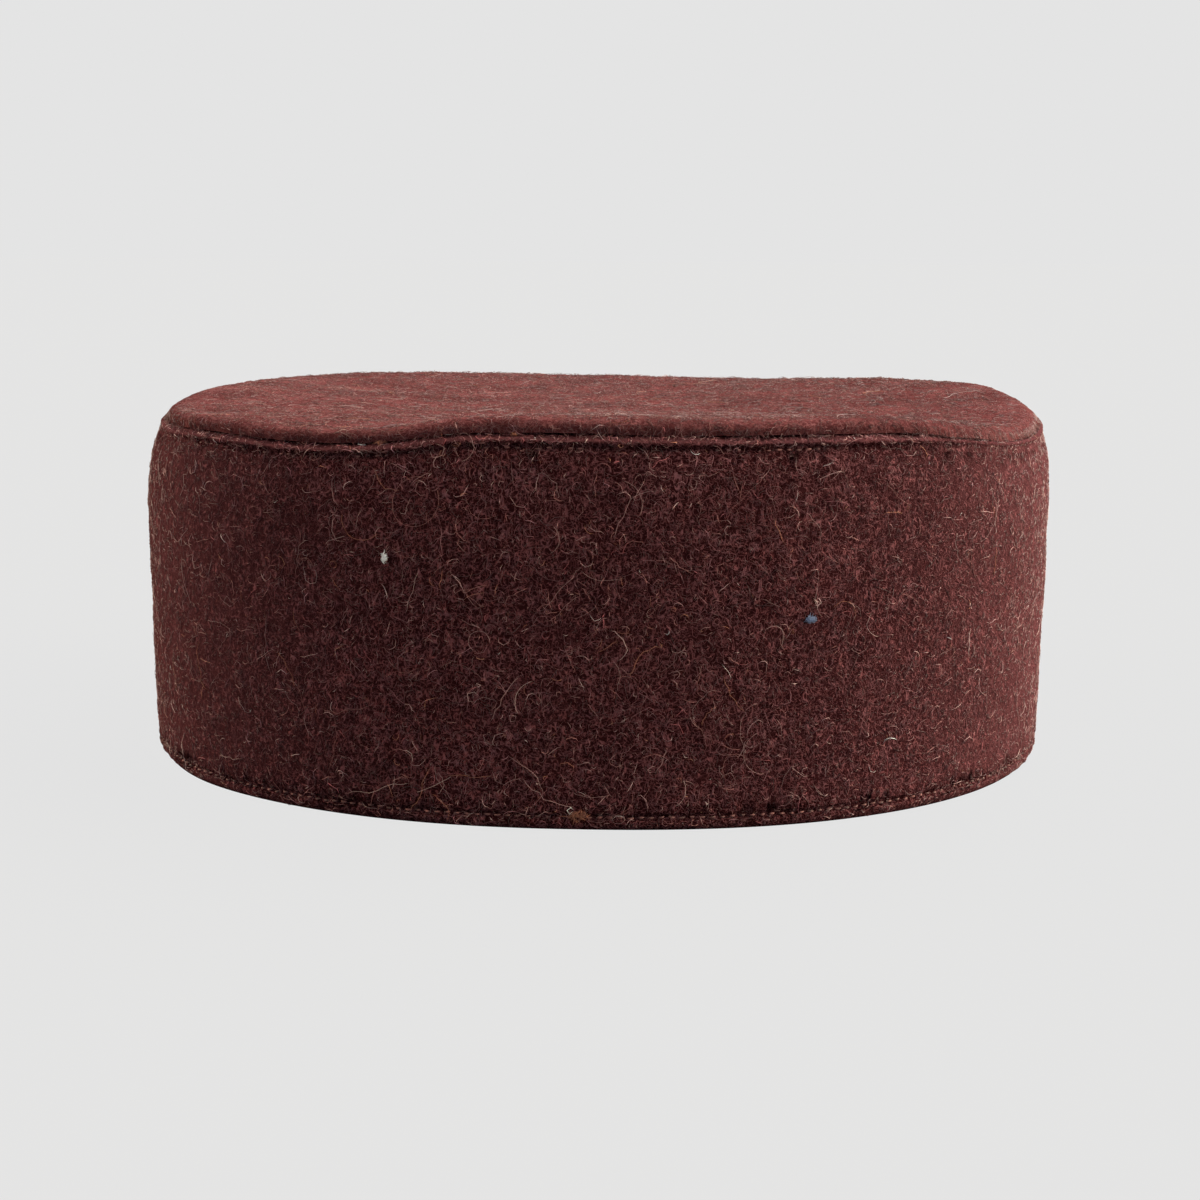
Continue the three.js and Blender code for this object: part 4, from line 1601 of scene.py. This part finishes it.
def add_light(lamp):
    """The far soft light that one row of LAMPS says."""
    bpy.ops.object.light_add(type="SUN")
    light = bpy.context.object
    light.name = lamp.name
    light.data.energy = lamp.strength
    light.data.angle = math.radians(lamp.width)
    light.data.color = lamp.colour
    a, e = math.radians(lamp.turn), math.radians(lamp.rise)
    towards = Vector((math.cos(a) * math.cos(e), math.sin(a) * math.cos(e), math.sin(e)))
    light.rotation_euler = towards.to_track_quat("Z", "Y").to_euler()


class KUFI_OT_stage(bpy.types.Operator):
    """Set the floor, the backdrop, the lights and the camera"""

    bl_idname = "kufi.stage"
    bl_label = "Stage"

    def execute(self, context):
        stage = context.scene.kufi_stage
        bpy.ops.object.select_all(action="DESELECT")
        bpy.ops.mesh.primitive_plane_add(size=120, location=(0, 0, 0))
        floor = context.object
        floor.name = "floor"
        floor.data.materials.append(floor_material(stage))
        for lamp in LAMPS:
            add_light(lamp)
        context.scene.world = backdrop_world(stage)
        context.scene.view_settings.view_transform = "Standard"
        heading, dip, roll = stage.camera_turn, stage.camera_dip, stage.camera_roll
        ahead = Vector((-math.sin(heading) * math.cos(dip), math.cos(heading) * math.cos(dip), -math.sin(dip)))
        right = ahead.cross(Vector((0, 0, 1))).normalized()
        above = right.cross(ahead)
        side = right * math.cos(roll) + above * math.sin(roll)
        top = above * math.cos(roll) - right * math.sin(roll)
        turned = Matrix((side, top, -ahead)).transposed()
        bpy.ops.object.camera_add(location=stage.camera_place, rotation=turned.to_euler())
        camera = context.object
        camera.data.sensor_width = 36
        camera.data.lens = stage.lens
        camera.data.clip_start, camera.data.clip_end = 0.01, 200
        context.scene.camera = camera
        return {"FINISHED"}


# How much of the floor takes shadows, and the colour it throws back on the cap.
FLOOR_SHADED, FLOOR_THROWS = 0.01, (0.06, 0.06, 0.06, 1)


def camera_sees(w, seen, thrown, surface):
    """Gives a surface one shader for the camera and another for all other rays."""
    rays = w.add("ShaderNodeLightPath")
    mixed = w.add("ShaderNodeMixShader")
    for socket, output in zip(mixed.inputs, (rays.outputs["Is Camera Ray"], thrown.outputs[0], seen.outputs[0])):
        w.feed(socket, output)
    w.feed(surface, mixed.outputs[0])


def floor_material(stage):
    """Smooth pale paper: the camera sees it pale, and it throws less light back up than it shows."""
    material, shader, w = new_material("floor_paper")
    nodes = material.node_tree.nodes
    nodes.remove(shader)
    shaded = w.add("ShaderNodeBsdfDiffuse", Color=(*stage.floor_colour, 1))
    glow = w.add("ShaderNodeEmission", Color=(*stage.backdrop, 1), Strength=stage.floor_glow)
    seen = w.add("ShaderNodeMixShader")
    for socket, value in zip(seen.inputs, (FLOOR_SHADED, glow.outputs[0], shaded.outputs[0])):
        w.feed(socket, value)
    thrown = w.add("ShaderNodeBsdfDiffuse", Color=FLOOR_THROWS)
    camera_sees(w, seen, thrown, nodes["Material Output"].inputs["Surface"])
    return material


def backdrop_world(stage):
    """An even backdrop, with less light from it than it shows."""
    world = bpy.data.worlds.new("backdrop")
    world.use_nodes = True
    w = Wiring(world.node_tree)
    seen = world.node_tree.nodes["Background"]
    seen.inputs["Color"].default_value = (*stage.backdrop, 1)
    thrown = w.add("ShaderNodeBackground", Color=(1.0, 1.0, 1.0, 1), Strength=stage.fill)
    camera_sees(w, seen, thrown, world.node_tree.nodes["World Output"].inputs["Surface"])
    return world


class KUFI_PT_panel(bpy.types.Panel):
    """Buttons and sizes of the cap"""

    bl_idname = "KUFI_PT_panel"
    bl_label = "Kufi Cap"
    bl_space_type = "VIEW_3D"
    bl_region_type = "UI"
    bl_category = "Kufi Cap"

    def draw(self, context):
        for operator in OPERATORS:
            self.layout.operator(operator.bl_idname)
        for label in GROUPS:
            group, box = getattr(context.scene, label), self.layout.box()
            for name in group.bl_rna.properties.keys():
                if name not in ("rna_type", "name"):
                    box.prop(group, name)


OPERATORS = (KUFI_OT_stage, KUFI_OT_band, KUFI_OT_crown, KUFI_OT_stitches, KUFI_OT_nap, KUFI_OT_hairs, KUFI_OT_lint)
GROUPS = {"kufi_shape": KufiShape, "kufi_thread": KufiThread, "kufi_nap": KufiNap, "kufi_stage": KufiStage}


def register():
    for kind in (*GROUPS.values(), *OPERATORS, KUFI_PT_panel):
        bpy.utils.register_class(kind)
    for name, kind in GROUPS.items():
        setattr(bpy.types.Scene, name, PointerProperty(type=kind))


def unregister():
    for name in GROUPS:
        delattr(bpy.types.Scene, name)
    for kind in (KUFI_PT_panel, *reversed(OPERATORS), *reversed(GROUPS.values())):
        bpy.utils.unregister_class(kind)


def main():
    register()
    bpy.ops.kufi.stage()
    bpy.ops.kufi.band()
    bpy.ops.kufi.crown()
    bpy.ops.kufi.stitches()
    bpy.ops.kufi.nap()
    bpy.ops.kufi.hairs()
    bpy.ops.kufi.lint()


if __name__ == "__main__":
    main()
